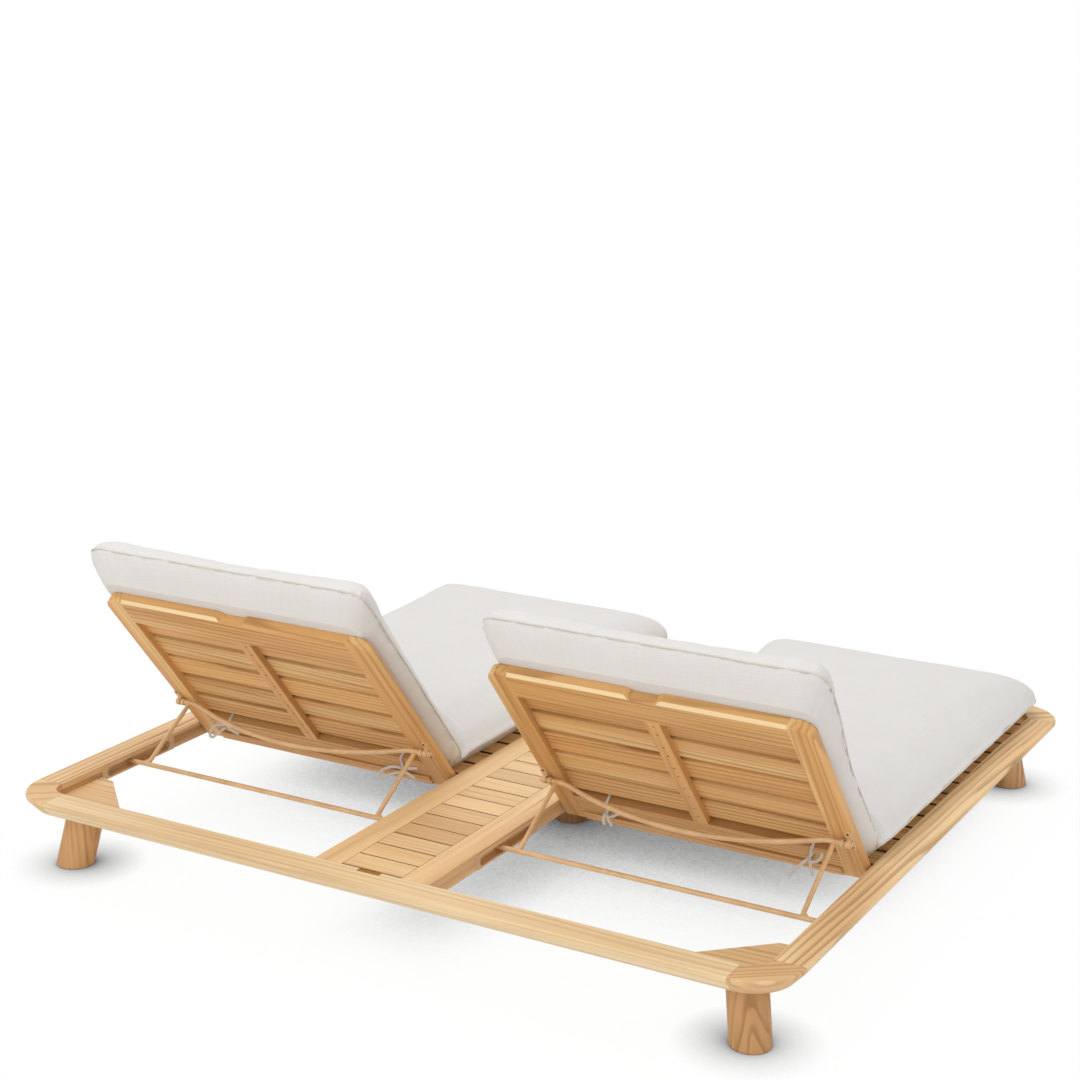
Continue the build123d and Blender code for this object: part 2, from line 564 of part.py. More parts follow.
for name, side in SIDES.items():
    middle = side * BACK_MIDDLE_X
    screw_points = [(middle, height) for height in batten_screw_heights()]

    stiles = (
        ("inner", BACK_INNER_X, PANEL_INNER_X, RING_INNER_X, BACK_INNER_X),
        ("outer", BACK_OUTER_X, PANEL_OUTER_X, RING_OUTER_X, BACK_OUTER_X - PIN_IN_STILE),
    )
    for place, edge_x, panel_x, ring_x, bore_x in stiles:
        with BuildPart() as stile:
            with BuildSketch(back_plane.offset(-BACK_FRONT)) as outline:
                with Locations((side * (edge_x + panel_x) / 2, (BACK_HEIGHT - STILE_FOOT) / 2)):
                    Rectangle(STILE_WIDTH, BACK_HEIGHT + STILE_FOOT)
                top_corner = outline.vertices().sort_by_distance((side * edge_x, BACK_HEIGHT, 0))[0]
                fillet(top_corner, radius=STILE_CORNER_RADIUS)
            extrude(amount=BACK_THICKNESS)
            long_edges = stile.edges().filter_by(Axis(HINGE, UP_THE_BACK))
            outer_edges = long_edges.sort_by_distance((side * edge_x * 2, HINGE_Y, HINGE_Z))
            if place == "inner":
                outer_edges = long_edges.sort_by_distance((0, HINGE_Y, HINGE_Z))
            fillet(outer_edges[:2], radius=STILE_EASING)
            with BuildSketch(Plane.YZ.offset(side * bore_x)):
                with Locations((HINGE_Y, HINGE_Z)):
                    Circle(PIN_RADIUS + PIN_CLEARANCE)
            extrude(amount=side * PIN_IN_STILE, mode=Mode.SUBTRACT)
            with BuildSketch(back_plane.offset(BACK_REAR)):
                for reach in (-STRAP_SCREW_REACH, STRAP_SCREW_REACH):
                    with Locations((side * ring_x, PIVOT_HEIGHT + reach)):
                        Circle(SCREW_RADIUS)
            extrude(amount=STRAP_THICKNESS - STRAP_SCREW_LENGTH, mode=Mode.SUBTRACT)
        save(stile, f"stile_{place}_{name}")

    with BuildPart() as top_rail:
        with BuildSketch(back_plane.offset(-BACK_FRONT)):
            with BuildLine():
                hand_hold_edge(middle)
                Polyline(
                    (middle - PANEL_HALF_WIDTH, BACK_HEIGHT),
                    (middle - PANEL_HALF_WIDTH, TOP_RAIL_FOOT),
                    (middle + PANEL_HALF_WIDTH, TOP_RAIL_FOOT),
                    (middle + PANEL_HALF_WIDTH, BACK_HEIGHT),
                )
            make_face()
        extrude(amount=BACK_THICKNESS)
        with BuildSketch(across_plane(HINGE, middle - PANEL_HALF_WIDTH)):
            with BuildLine():
                Polyline(
                    (BACK_HEIGHT, BACK_REAR),
                    (BACK_HEIGHT - TOP_RAIL_CHAMFER, BACK_REAR),
                    (BACK_HEIGHT, BACK_REAR - TOP_RAIL_CHAMFER),
                    close=True,
                )
            make_face()
        extrude(amount=2 * PANEL_HALF_WIDTH, mode=Mode.SUBTRACT)
    save(top_rail, f"top_rail_{name}")

    with BuildPart() as bottom_rail:
        with BuildSketch(back_plane.offset(-BACK_FRONT)):
            with Locations((middle, (BOTTOM_RAIL_TOP - STILE_FOOT) / 2)):
                Rectangle(2 * PANEL_HALF_WIDTH, BOTTOM_RAIL_TOP + STILE_FOOT)
        extrude(amount=BACK_THICKNESS)
        with BuildSketch(back_plane.offset(BACK_REAR)):
            with Locations((middle, (BOTTOM_LIP_FOOT + BOTTOM_LIP_TOP) / 2)):
                lip_length = 2 * (PANEL_HALF_WIDTH - BOTTOM_LIP_END_INSET)
                Rectangle(lip_length, BOTTOM_LIP_TOP - BOTTOM_LIP_FOOT)
        extrude(amount=BOTTOM_LIP_PROUD)
    save(bottom_rail, f"bottom_rail_{name}")

    with BuildPart() as back_slats:
        with BuildSketch(across_plane(HINGE, middle - PANEL_HALF_WIDTH)):
            add(back_slat_ends)
        extrude(amount=2 * PANEL_HALF_WIDTH)
        with BuildSketch(back_plane.offset(BACK_REAR - SCREW_RECESS)):
            with Locations(*screw_points):
                Circle(SCREW_RADIUS)
        extrude(amount=-BATTEN_SCREW_LENGTH, mode=Mode.SUBTRACT)
    save(back_slats, f"back_slats_{name}")

    with BuildPart() as batten:
        with BuildSketch(back_plane.offset(SLAT_BACK)):
            with Locations((middle, (BOTTOM_RAIL_TOP + TOP_RAIL_FOOT) / 2)):
                Rectangle(BATTEN_WIDTH, TOP_RAIL_FOOT - BOTTOM_RAIL_TOP)
        extrude(amount=BACK_REAR - SLAT_BACK)
        with BuildSketch(back_plane.offset(SLAT_BACK)):
            with Locations(*screw_points):
                Circle(SCREW_RADIUS)
        extrude(amount=BACK_REAR - SLAT_BACK, mode=Mode.SUBTRACT)
        with BuildSketch(back_plane.offset(BACK_REAR)):
            with Locations(*screw_points):
                Circle(SCREW_HEAD_RADIUS)
        extrude(amount=-SCREW_RECESS, mode=Mode.SUBTRACT)
    save(batten, f"back_batten_{name}")

    strap_points = [
        (side * ring_x, PIVOT_HEIGHT + reach)
        for ring_x in (RING_INNER_X, RING_OUTER_X)
        for reach in (-STRAP_SCREW_REACH, STRAP_SCREW_REACH)
    ]
    with BuildPart() as backrest_screws:
        for points, seat, length in (
            (screw_points, BACK_REAR - SCREW_RECESS, BATTEN_SCREW_LENGTH),
            (strap_points, BACK_REAR + STRAP_THICKNESS, STRAP_SCREW_LENGTH),
        ):
            with BuildSketch(back_plane.offset(seat)):
                with Locations(*points):
                    Circle(SCREW_HEAD_RADIUS)
            extrude(amount=SCREW_HEAD_HEIGHT)
            with BuildSketch(back_plane.offset(seat)):
                with Locations(*points):
                    Circle(SCREW_RADIUS)
            extrude(amount=-length)
    save(backrest_screws, f"backrest_screws_{name}")

    with BuildPart() as stay_brackets:
        for ring_x in (RING_INNER_X, RING_OUTER_X):
            with BuildSketch(back_plane.offset(BACK_REAR)):
                with Locations((side * ring_x, PIVOT_HEIGHT)):
                    SlotOverall(2 * STRAP_REACH, STRAP_WIDTH, rotation=90)
            extrude(amount=STRAP_THICKNESS)
            with BuildSketch(across_plane(PIVOT, side * ring_x - RING_WIDTH / 2)):
                Circle(RING_RADIUS)
                with Locations((0, (BACK_REAR - PIVOT_BEHIND) / 2)):
                    Rectangle(2 * RING_RADIUS, PIVOT_BEHIND - BACK_REAR)
            extrude(amount=RING_WIDTH)
            with BuildSketch(across_plane(PIVOT, side * ring_x - STRAP_WIDTH)):
                Circle(ROD_RADIUS + PIN_CLEARANCE)
            extrude(amount=2 * STRAP_WIDTH, mode=Mode.SUBTRACT)
        with BuildSketch(back_plane.offset(BACK_REAR)):
            with Locations(*strap_points):
                Circle(SCREW_RADIUS)
        extrude(amount=STRAP_THICKNESS, mode=Mode.SUBTRACT)
    save(stay_brackets, f"stay_brackets_{name}")

# Stays: a bowed rod turns in the brackets, two struts run down from it, and the
# cross rod's ends slide in the slots
bow_half_span = (BOW_OUTER_END - BOW_INNER_END) / 2 - BOW_STRAIGHT
bow_turn = 2 * atan(BOW_SAG / bow_half_span)
bow_radius = BOW_SAG / (1 - cos(bow_turn)) - BOW_BEND_RADIUS

for name, side in SIDES.items():
    first_end = min(side * BOW_INNER_END, side * BOW_OUTER_END)
    with BuildPart() as stay_bow:
        with BuildLine(stay_plane) as bow_path:
            start = Line((first_end, 0), (first_end + BOW_STRAIGHT, 0))
            bend_in = JernArc(start @ 1, start % 1, BOW_BEND_RADIUS, degrees(bow_turn))
            bow = JernArc(bend_in @ 1, bend_in % 1, bow_radius, -2 * degrees(bow_turn))
            bend_out = JernArc(bow @ 1, bow % 1, BOW_BEND_RADIUS, degrees(bow_turn))
            Line(bend_out @ 1, (first_end + 2 * (BOW_STRAIGHT + bow_half_span), 0))
        with BuildSketch(Plane(origin=PIVOT + ALONG_X * first_end, z_dir=ALONG_X)):
            Circle(ROD_RADIUS)
        sweep(path=bow_path.line)
        for collar_x in (RING_INNER_X + COLLAR_DISTANCE, RING_OUTER_X - COLLAR_DISTANCE):
            with BuildSketch(across_plane(PIVOT, side * collar_x - COLLAR_WIDTH / 2)):
                Circle(COLLAR_RADIUS)
            extrude(amount=COLLAR_WIDTH)
    save(stay_bow, f"stay_bow_{name}")

    with BuildPart() as stay_struts:
        for strut_x, outwards in ((STRUT_INNER_X, -1), (STRUT_OUTER_X, 1)):
            with BuildSketch(Plane(origin=PIVOT + ALONG_X * (side * strut_x), z_dir=DOWN_THE_STAY)):
                Circle(STRUT_RADIUS)
            extrude(amount=STAY_LENGTH)
            with BuildSketch(stay_plane.offset(-WELD_GUSSET_THICKNESS / 2)):
                with BuildLine():
                    Polyline(
                        (side * strut_x, STAY_LENGTH),
                        (side * (strut_x + outwards * WELD_GUSSET_SIZE), STAY_LENGTH),
                        (side * strut_x, STAY_LENGTH - WELD_GUSSET_SIZE),
                        close=True,
                    )
                make_face()
            extrude(amount=WELD_GUSSET_THICKNESS)
            for rod in (PIVOT, CROSS_ROD):
                with BuildSketch(across_plane(rod, side * strut_x - 2 * WELD_GUSSET_SIZE)):
                    Circle(ROD_RADIUS)
                extrude(amount=4 * WELD_GUSSET_SIZE, mode=Mode.SUBTRACT)
    save(stay_struts, f"stay_struts_{name}")

    with BuildPart() as cross_rod:
        with BuildSketch(across_plane(CROSS_ROD, min(side * CROSS_INNER_END, side * CROSS_OUTER_END))):
            Circle(ROD_RADIUS)
        extrude(amount=CROSS_OUTER_END - CROSS_INNER_END)
        chamfer(cross_rod.edges().filter_by(GeomType.CIRCLE), length=ROD_END_EASING)
    save(cross_rod, f"stay_cross_rod_{name}")

# Mattresses. The two halves meet at the fold in faces that lean apart, so that
# they stay clear of each other up to the highest angle.
fold_slope = tan(radians(HIGHEST_ANGLE / 2))


def cushion_outline(side, height, inset_inner, inset_outer, end, fold_inset):
    """A cushion's outline at a height above the hinge axis."""
    inner = CUSHION_SEAM_INNER_X + inset_inner
    outer = CUSHION_SEAM_OUTER_X - inset_outer
    fold = fold_slope * height + CUSHION_FOLD_CLEARANCE + fold_inset
    with BuildSketch() as outline:
        with Locations((side * (inner + outer) / 2, (fold + end) / 2)):
            Rectangle(outer - inner, end - fold)
        corners = outline.vertices().group_by(Axis.Y)
        fillet(corners[-1], radius=CUSHION_CORNER_RADIUS)
        fillet(corners[0], radius=CUSHION_FOLD_CORNER_RADIUS)
    return outline.sketch


def cushion_levels(seam_height, base_end, seam_end, crown_height, crown_reach, dome_height):
    """List each outline's height above the base, side insets, far end and fold inset.

    The sides swell from the base to the piped seam along a quarter wave, the
    crown rolls in along a quarter ellipse, and a shallow dome closes it.
    """
    inner_draw = CUSHION_BASE_INNER_X - CUSHION_SEAM_INNER_X
    outer_draw = CUSHION_SEAM_OUTER_X - CUSHION_BASE_OUTER_X
    levels = []
    for step in range(SIDE_STEPS):
        height = seam_height * step / SIDE_STEPS
        drawn_in = 1 - sin(radians(90 * step / SIDE_STEPS))
        end = seam_end - (seam_end - base_end) * drawn_in
        levels.append((height, inner_draw * drawn_in, outer_draw * drawn_in, end, 0))
    for step in range(CROWN_STEPS + 1):
        roll = radians(90 * step / CROWN_STEPS)
        inset = crown_reach * (1 - cos(roll))
        height = seam_height + crown_height * sin(roll)
        levels.append((height, inset, inset, seam_end - inset, 0))
    top = seam_height + crown_height
    for rise, reach in DOME_STEPS:
        inset = crown_reach + DOME_REACH * reach
        levels.append((top + dome_height * rise, inset, inset, seam_end - inset, DOME_REACH * reach))
    return levels


def cushion(side, plane, upwards, base, levels):
    """Loft a cushion up (1) or down (-1) from its plane, starting at its base's distance."""
    outlines = []
    for height, inner, outer, end, fold in levels:
        above_hinge = height + base
        outlines.append((above_hinge, cushion_outline(side, above_hinge, inner, outer, end, fold)))
    with BuildPart() as body:
        for above_hinge, outline in outlines:
            with BuildSketch(plane.offset(upwards * above_hinge)):
                add(outline)
        loft(ruled=True)
    return body


seat_levels = cushion_levels(
    SEAT_SEAM_HEIGHT,
    SEAT_CUSHION_BASE_END - HINGE_Y,
    SEAT_CUSHION_SEAM_END - HINGE_Y,
    SEAT_CROWN_HEIGHT,
    SEAT_CROWN_REACH,
    SEAT_DOME_HEIGHT,
)
back_levels = cushion_levels(
    BACK_SEAM_HEIGHT,
    BACK_CUSHION_BASE_END,
    BACK_CUSHION_SEAM_END,
    BACK_CROWN_HEIGHT,
    BACK_CROWN_REACH,
    BACK_DOME_HEIGHT,
)

for name, side in SIDES.items():
    seat_cushion = cushion(side, seat_plane, 1, SEAT_TOP - HINGE_Z, seat_levels)
    save(seat_cushion, f"seat_cushion_{name}")
    back_cushion = cushion(side, back_plane, -1, BACK_FRONT, back_levels)
    save(back_cushion, f"back_cushion_{name}")

# Ties: each tape lies over the bottom rail, turns down its back and ends in a
# knot, with one loop outwards and two tails the other way
knot = HINGE + UP_THE_BACK * TIE_KNOT_HEIGHT + BEHIND_THE_BACK * (BACK_REAR + TIE_KNOT_RADIUS)

for name, side in SIDES.items():
    with BuildPart() as cushion_ties:
        for tie_x in (TIE_INNER_X, TIE_OUTER_X):
            with BuildSketch(across_plane(HINGE, side * tie_x - TIE_WIDTH / 2)):
                with BuildLine():
                    Polyline(
                        (BOTTOM_RAIL_TOP + TIE_THICKNESS, -BACK_FRONT),
                        (BOTTOM_RAIL_TOP + TIE_THICKNESS, BACK_REAR + TIE_THICKNESS),
                        (TIE_KNOT_HEIGHT, BACK_REAR + TIE_THICKNESS),
                        (TIE_KNOT_HEIGHT, BACK_REAR),
                        (BOTTOM_RAIL_TOP, BACK_REAR),
                        (BOTTOM_RAIL_TOP, -BACK_FRONT),
                        close=True,
                    )
                make_face()
            extrude(amount=TIE_WIDTH)
            with BuildSketch(across_plane(knot, side * tie_x - TIE_WIDTH / 2)):
                Circle(TIE_KNOT_RADIUS)
            extrude(amount=TIE_WIDTH)
            with BuildSketch(Plane(origin=knot + ALONG_X * (side * tie_x), x_dir=ALONG_X, z_dir=(0, -1, 0))):
                loop_angle = radians(TIE_LOOP_SLOPE)
                loop_x = side * TIE_LOOP_HALF_LENGTH * cos(loop_angle)
                loop_z = -TIE_LOOP_HALF_LENGTH * sin(loop_angle)
                with Locations((loop_x, loop_z)):
                    Ellipse(TIE_LOOP_HALF_LENGTH, TIE_LOOP_HALF_WIDTH, rotation=-side * TIE_LOOP_SLOPE)
                for slope in TIE_TAIL_SLOPES:
                    tail_x = -side * TIE_TAIL_LENGTH / 2 * cos(radians(slope))
                    tail_z = -TIE_TAIL_LENGTH / 2 * sin(radians(slope))
                    with Locations((tail_x, tail_z)):
                        Rectangle(TIE_TAIL_LENGTH, TIE_WIDTH, rotation=side * slope)
            extrude(amount=TIE_BOW_THICKNESS)
    save(cushion_ties, f"cushion_ties_{name}")
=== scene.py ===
import json
import logging
import math
from collections.abc import Callable, Iterable
from dataclasses import dataclass
from enum import Enum

import bpy
import numpy as np
from mathutils import Matrix, Vector


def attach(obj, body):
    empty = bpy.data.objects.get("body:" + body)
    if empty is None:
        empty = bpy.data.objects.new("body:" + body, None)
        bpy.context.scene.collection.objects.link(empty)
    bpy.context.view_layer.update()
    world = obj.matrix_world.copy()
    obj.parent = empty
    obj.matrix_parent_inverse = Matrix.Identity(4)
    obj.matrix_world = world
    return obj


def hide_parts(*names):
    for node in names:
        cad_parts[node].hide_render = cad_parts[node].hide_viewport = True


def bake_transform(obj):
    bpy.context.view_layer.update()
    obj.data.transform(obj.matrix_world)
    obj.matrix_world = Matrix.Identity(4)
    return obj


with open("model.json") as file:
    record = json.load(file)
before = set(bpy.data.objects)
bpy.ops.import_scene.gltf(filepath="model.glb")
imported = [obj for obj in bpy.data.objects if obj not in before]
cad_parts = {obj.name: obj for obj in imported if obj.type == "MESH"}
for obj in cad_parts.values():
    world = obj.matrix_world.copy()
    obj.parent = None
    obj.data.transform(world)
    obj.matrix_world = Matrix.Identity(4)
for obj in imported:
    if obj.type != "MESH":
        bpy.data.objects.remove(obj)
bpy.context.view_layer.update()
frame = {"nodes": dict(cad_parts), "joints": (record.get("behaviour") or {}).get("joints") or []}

log = logging.getLogger("double_chaise")

Colour = tuple[float, float, float, float]
Triple = tuple[float, float, float]
Arrays = tuple[np.ndarray, np.ndarray, np.ndarray]
Socket = bpy.types.NodeSocket
TURN = 2 * math.pi
ANYWHERE = 9.0


def srgb(red: int, green: int, blue: int) -> Colour:
    """Turn a colour in the usual 0 to 255 values into linear light.

    Args:
        red: the red value.
        green: the green value.
        blue: the blue value.

    Returns:
        The linear colour, with an alpha of 1.
    """
    values = np.array([red, green, blue]) / 255
    linear = np.where(values <= 0.04045, values / 12.92, ((values + 0.055) / 1.055) ** 2.4)
    return (*linear.tolist(), 1.0)


def smoothstep(values: np.ndarray) -> np.ndarray:
    """Ease from 0 to 1 as values go from 0 to 1, flat at both ends."""
    share = np.clip(values, 0, 1)
    return share * share * (3 - 2 * share)


class Side(Enum):
    """The two loungers, seen from the head end."""

    LEFT = -1
    RIGHT = 1

    @property
    def word(self) -> str:
        """The side's name, as the nodes spell it."""
        return self.name.lower()


@dataclass(frozen=True)
class Recline:
    """Where a backrest turns and how far it is raised at rest.

    Distances along the back are measured up from the hinge axis, and depths
    behind the plane that the axis lies in.
    """

    hinge_y: float
    hinge_z: float
    raised: float

    def on_back(self, x: np.ndarray, up: np.ndarray, behind: np.ndarray) -> np.ndarray:
        """Place points that are given on the raised back.

        Args:
            x: distances along the hinge axis.
            up: distances up the back from the hinge axis.
            behind: depths behind the back's middle plane.

        Returns:
            The points in the frame, one row each.
        """
        x, up, behind = np.broadcast_arrays(x, up, behind)
        y = self.hinge_y - up * math.cos(self.raised) - behind * math.sin(self.raised)
        z = self.hinge_z + up * math.sin(self.raised) - behind * math.cos(self.raised)
        return np.stack([x, y, z], axis=-1)

    @property
    def hinge(self) -> np.ndarray:
        """The hinge axis where X is 0."""
        return np.array([0.0, self.hinge_y, self.hinge_z])

    @property
    def up_the_back(self) -> np.ndarray:
        """The direction up the raised back."""
        return np.array([0.0, -math.cos(self.raised), math.sin(self.raised)])

    @property
    def behind_the_back(self) -> np.ndarray:
        """The direction square to the raised back, away from the mattress."""
        return np.array([0.0, -math.sin(self.raised), -math.cos(self.raised)])


def find_recline() -> Recline:
    """Read the hinge's place from the model's joints."""
    joint = next(j for j in frame["joints"] if j["name"] == "backrest_left_recline")
    return Recline(joint["pos_m"][1], joint["pos_m"][2], math.radians(50.4))


RECLINE = find_recline()


# Shader nodes


def sign_method(operation: str, swapped: bool = False) -> Callable[["Signal", object], "Signal"]:
    """Make a Signal's method for one sign of arithmetic.

    Args:
        operation: the Math node's operation.
        swapped: whether the signal is the second value.

    Returns:
        The method.
    """

    def work_out(self: "Signal", other: object) -> "Signal":
        """Add the Math node for this sign."""
        return self.bench.math(operation, *((other, self) if swapped else (self, other)))

    return work_out


class Signal:
    """A socket that arithmetic works on, each sign adding a Math node."""

    def __init__(self, bench: "NodeBench", socket: Socket) -> None:
        """Keep the socket and the bench of its tree."""
        self.bench = bench
        self.socket = socket

    __add__ = sign_method("ADD")
    __mul__ = sign_method("MULTIPLY")
    __truediv__ = sign_method("DIVIDE")
    __sub__ = sign_method("SUBTRACT")
    __rsub__ = sign_method("SUBTRACT", swapped=True)


class NodeBench:
    """Adds and links shader nodes in one tree."""

    def __init__(self, tree: bpy.types.NodeTree) -> None:
        """Keep the tree that the nodes go into."""
        self.tree = tree

    def node(self, kind: str, **settings: object) -> bpy.types.Node:
        """Add a node.

        Args:
            kind: the node's type name, without its ShaderNode prefix.
            settings: properties to set on it.

        Returns:
            The node.
        """
        made = self.tree.nodes.new("ShaderNode" + kind)
        for name, value in settings.items():
            setattr(made, name, value)
        return made

    def feed(self, socket: Socket, value: object) -> None:
        """Link a socket to another one, or give it a plain value."""
        if isinstance(value, Signal):
            value = value.socket
        if isinstance(value, Socket):
            self.tree.links.new(value, socket)
        else:
            socket.default_value = value

    def feed_all(self, sockets: Iterable[Socket], values: Iterable[object]) -> None:
        """Feed several sockets in turn."""
        for socket, value in zip(sockets, values):
            self.feed(socket, value)

    def math(self, operation: str, *values: object, clamp: bool = False) -> Signal:
        """Work out a number from one to three others."""
        made = self.node("Math", operation=operation, use_clamp=clamp)
        self.feed_all(made.inputs, values)
        return Signal(self, made.outputs[0])

    def vector(self, operation: str, *values: object) -> Signal:
        """Work out a vector, or the length or product of vectors."""
        made = self.node("VectorMath", operation=operation)
        self.feed_all(made.inputs, values)
        return Signal(self, made.outputs["Value" if operation in ("LENGTH", "DOT_PRODUCT") else "Vector"])

    def split(self, value: object, kind: str = "XYZ") -> list[Signal]:
        """Take a vector, or with the kind Color a colour, apart into three numbers."""
        made = self.node("Separate" + kind)
        self.feed(made.inputs[0], value)
        return [Signal(self, socket) for socket in made.outputs]

    def own_place(self) -> Socket:
        """Give the place in the object's own metres."""
        return self.node("TexCoord").outputs["Object"]

    def noise(self, place: object, cells: Triple, detail: float = 2.0) -> bpy.types.Node:
        """Add noise with a different number of cells to the metre each way."""
        made = self.node("TexNoise")
        self.feed(made.inputs["Vector"], self.vector("MULTIPLY", place, cells))
        made.inputs["Scale"].default_value = 1.0
        made.inputs["Detail"].default_value = detail
        return made

    def streaks(self, place: object, cells: Triple, detail: float = 2.0) -> Signal:
        """Add noise as one number."""
        return Signal(self, self.noise(place, cells, detail).outputs["Fac"])

    def ease(self, value: object, low: float, high: float) -> Signal:
        """Rise smoothly from 0 to 1 as a value goes from low to high."""
        made = self.node("MapRange", interpolation_type="SMOOTHSTEP")
        self.feed_all(made.inputs, (value, low, high, 0.0, 1.0))
        return Signal(self, made.outputs["Result"])

    def mix(self, share: object, first: object, second: object) -> Signal:
        """Mix two colours by a share."""
        made = self.node("Mix", data_type="RGBA")
        self.feed_all((made.inputs[0], made.inputs[6], made.inputs[7]), (share, first, second))
        return Signal(self, made.outputs[2])

    def blend_shaders(self, share: object, first: Socket, second: Socket) -> Socket:
        """Blend two shaders by a share."""
        made = self.node("MixShader")
        self.feed_all(made.inputs, (share, first, second))
        return made.outputs[0]

    def image_rays(self) -> Signal:
        """Tell the rays that the image shows: straight, mirrored or through glass."""
        rays = self.node("LightPath").outputs
        seen = self.math("ADD", rays["Is Camera Ray"], rays["Is Glossy Ray"])
        return self.math("ADD", seen, rays["Is Transmission Ray"], clamp=True)


class ShaderGroup:
    """A node group from a place, numbers and colours to a finish, used in many materials."""

    def __init__(self, name: str, numbers: tuple[str, ...], colours: tuple[str, ...]) -> None:
        """Make the group's sockets.

        Args:
            name: the group's name.
            numbers: the names of its number inputs.
            colours: the names of its colour inputs.
        """
        self.tree = bpy.data.node_groups.new(name, "ShaderNodeTree")
        self.bench = NodeBench(self.tree)
        inputs = {"Place": "Vector", **dict.fromkeys(numbers, "Float"), **dict.fromkeys(colours, "Color")}
        outputs = {"Color": "Color", "Roughness": "Float", "Height": "Float"}
        for way, sockets in (("INPUT", inputs), ("OUTPUT", outputs)):
            for label, kind in sockets.items():
                self.tree.interface.new_socket(label, in_out=way, socket_type="NodeSocket" + kind)
        self.inputs = self.tree.nodes.new("NodeGroupInput").outputs
        self.outputs = self.tree.nodes.new("NodeGroupOutput").inputs

    def give(self, colour: Signal, roughness: Signal, height: Signal) -> None:
        """Link the finish that the group gives."""
        self.bench.feed_all(self.outputs, (colour, roughness, height))

    def place(self, bench: NodeBench, **values: object) -> bpy.types.Node:
        """Place the group in a material.

        Args:
            bench: the material's nodes.
            values: the inputs to link or set, in lower case.

        Returns:
            The group's node.
        """
        made = bench.node("Group", node_tree=self.tree)
        for label, value in values.items():
            bench.feed(made.inputs[label.title()], value)
        return made


@dataclass(frozen=True)
class TeakPattern:
    """The sizes of teak's figure, in metres or in noise cells to the metre, with X along the grain.

    A pair is the two values that something rises or falls between.
    """

    board_shift: Triple = (19.0, 7.0, 11.0)
    bend_cells: Triple = (0.9, 5.0, 5.0)
    bend_size: Triple = (0.0, 0.040, 0.040)
    board_slant: float = 0.11
    board_offset: float = 0.11
    axis_depth: tuple[float, float] = (0.04, 0.14)
    rings_per_metre: float = 58.0
    uneven_cells: Triple = (0.5, 30.0, 30.0)
    unevenness: float = 1.6
    ring_darkens: tuple[float, float] = (0.30, 0.88)
    ring_ends: tuple[float, float] = (0.82, 1.0)
    strength_cells: Triple = (0.7, 16.0, 16.0)
    strength: tuple[float, float] = (0.22, 0.66)
    fibre_cells: Triple = (5.0, 52.0, 52.0)
    heart_cells: Triple = (0.45, 10.0, 10.0)
    heart: tuple[float, float] = (0.28, 0.74)
    heart_by_board: float = 0.36
    sapwood_cells: Triple = (0.40, 12.0, 12.0)
    sapwood: tuple[float, float] = (0.60, 0.66)
    streak_cells: Triple = (0.8, 42.0, 42.0)
    streak: tuple[float, float] = (0.66, 0.76)
    ring_dark: float = 0.95
    streak_dark: float = 0.38
    fibre_dark: float = 0.34
    value: tuple[float, float] = (0.93, 0.15)
    roughness: tuple[float, float] = (0.44, 0.20)
    fibre_height: float = 0.2
    ring_height: float = 0.08


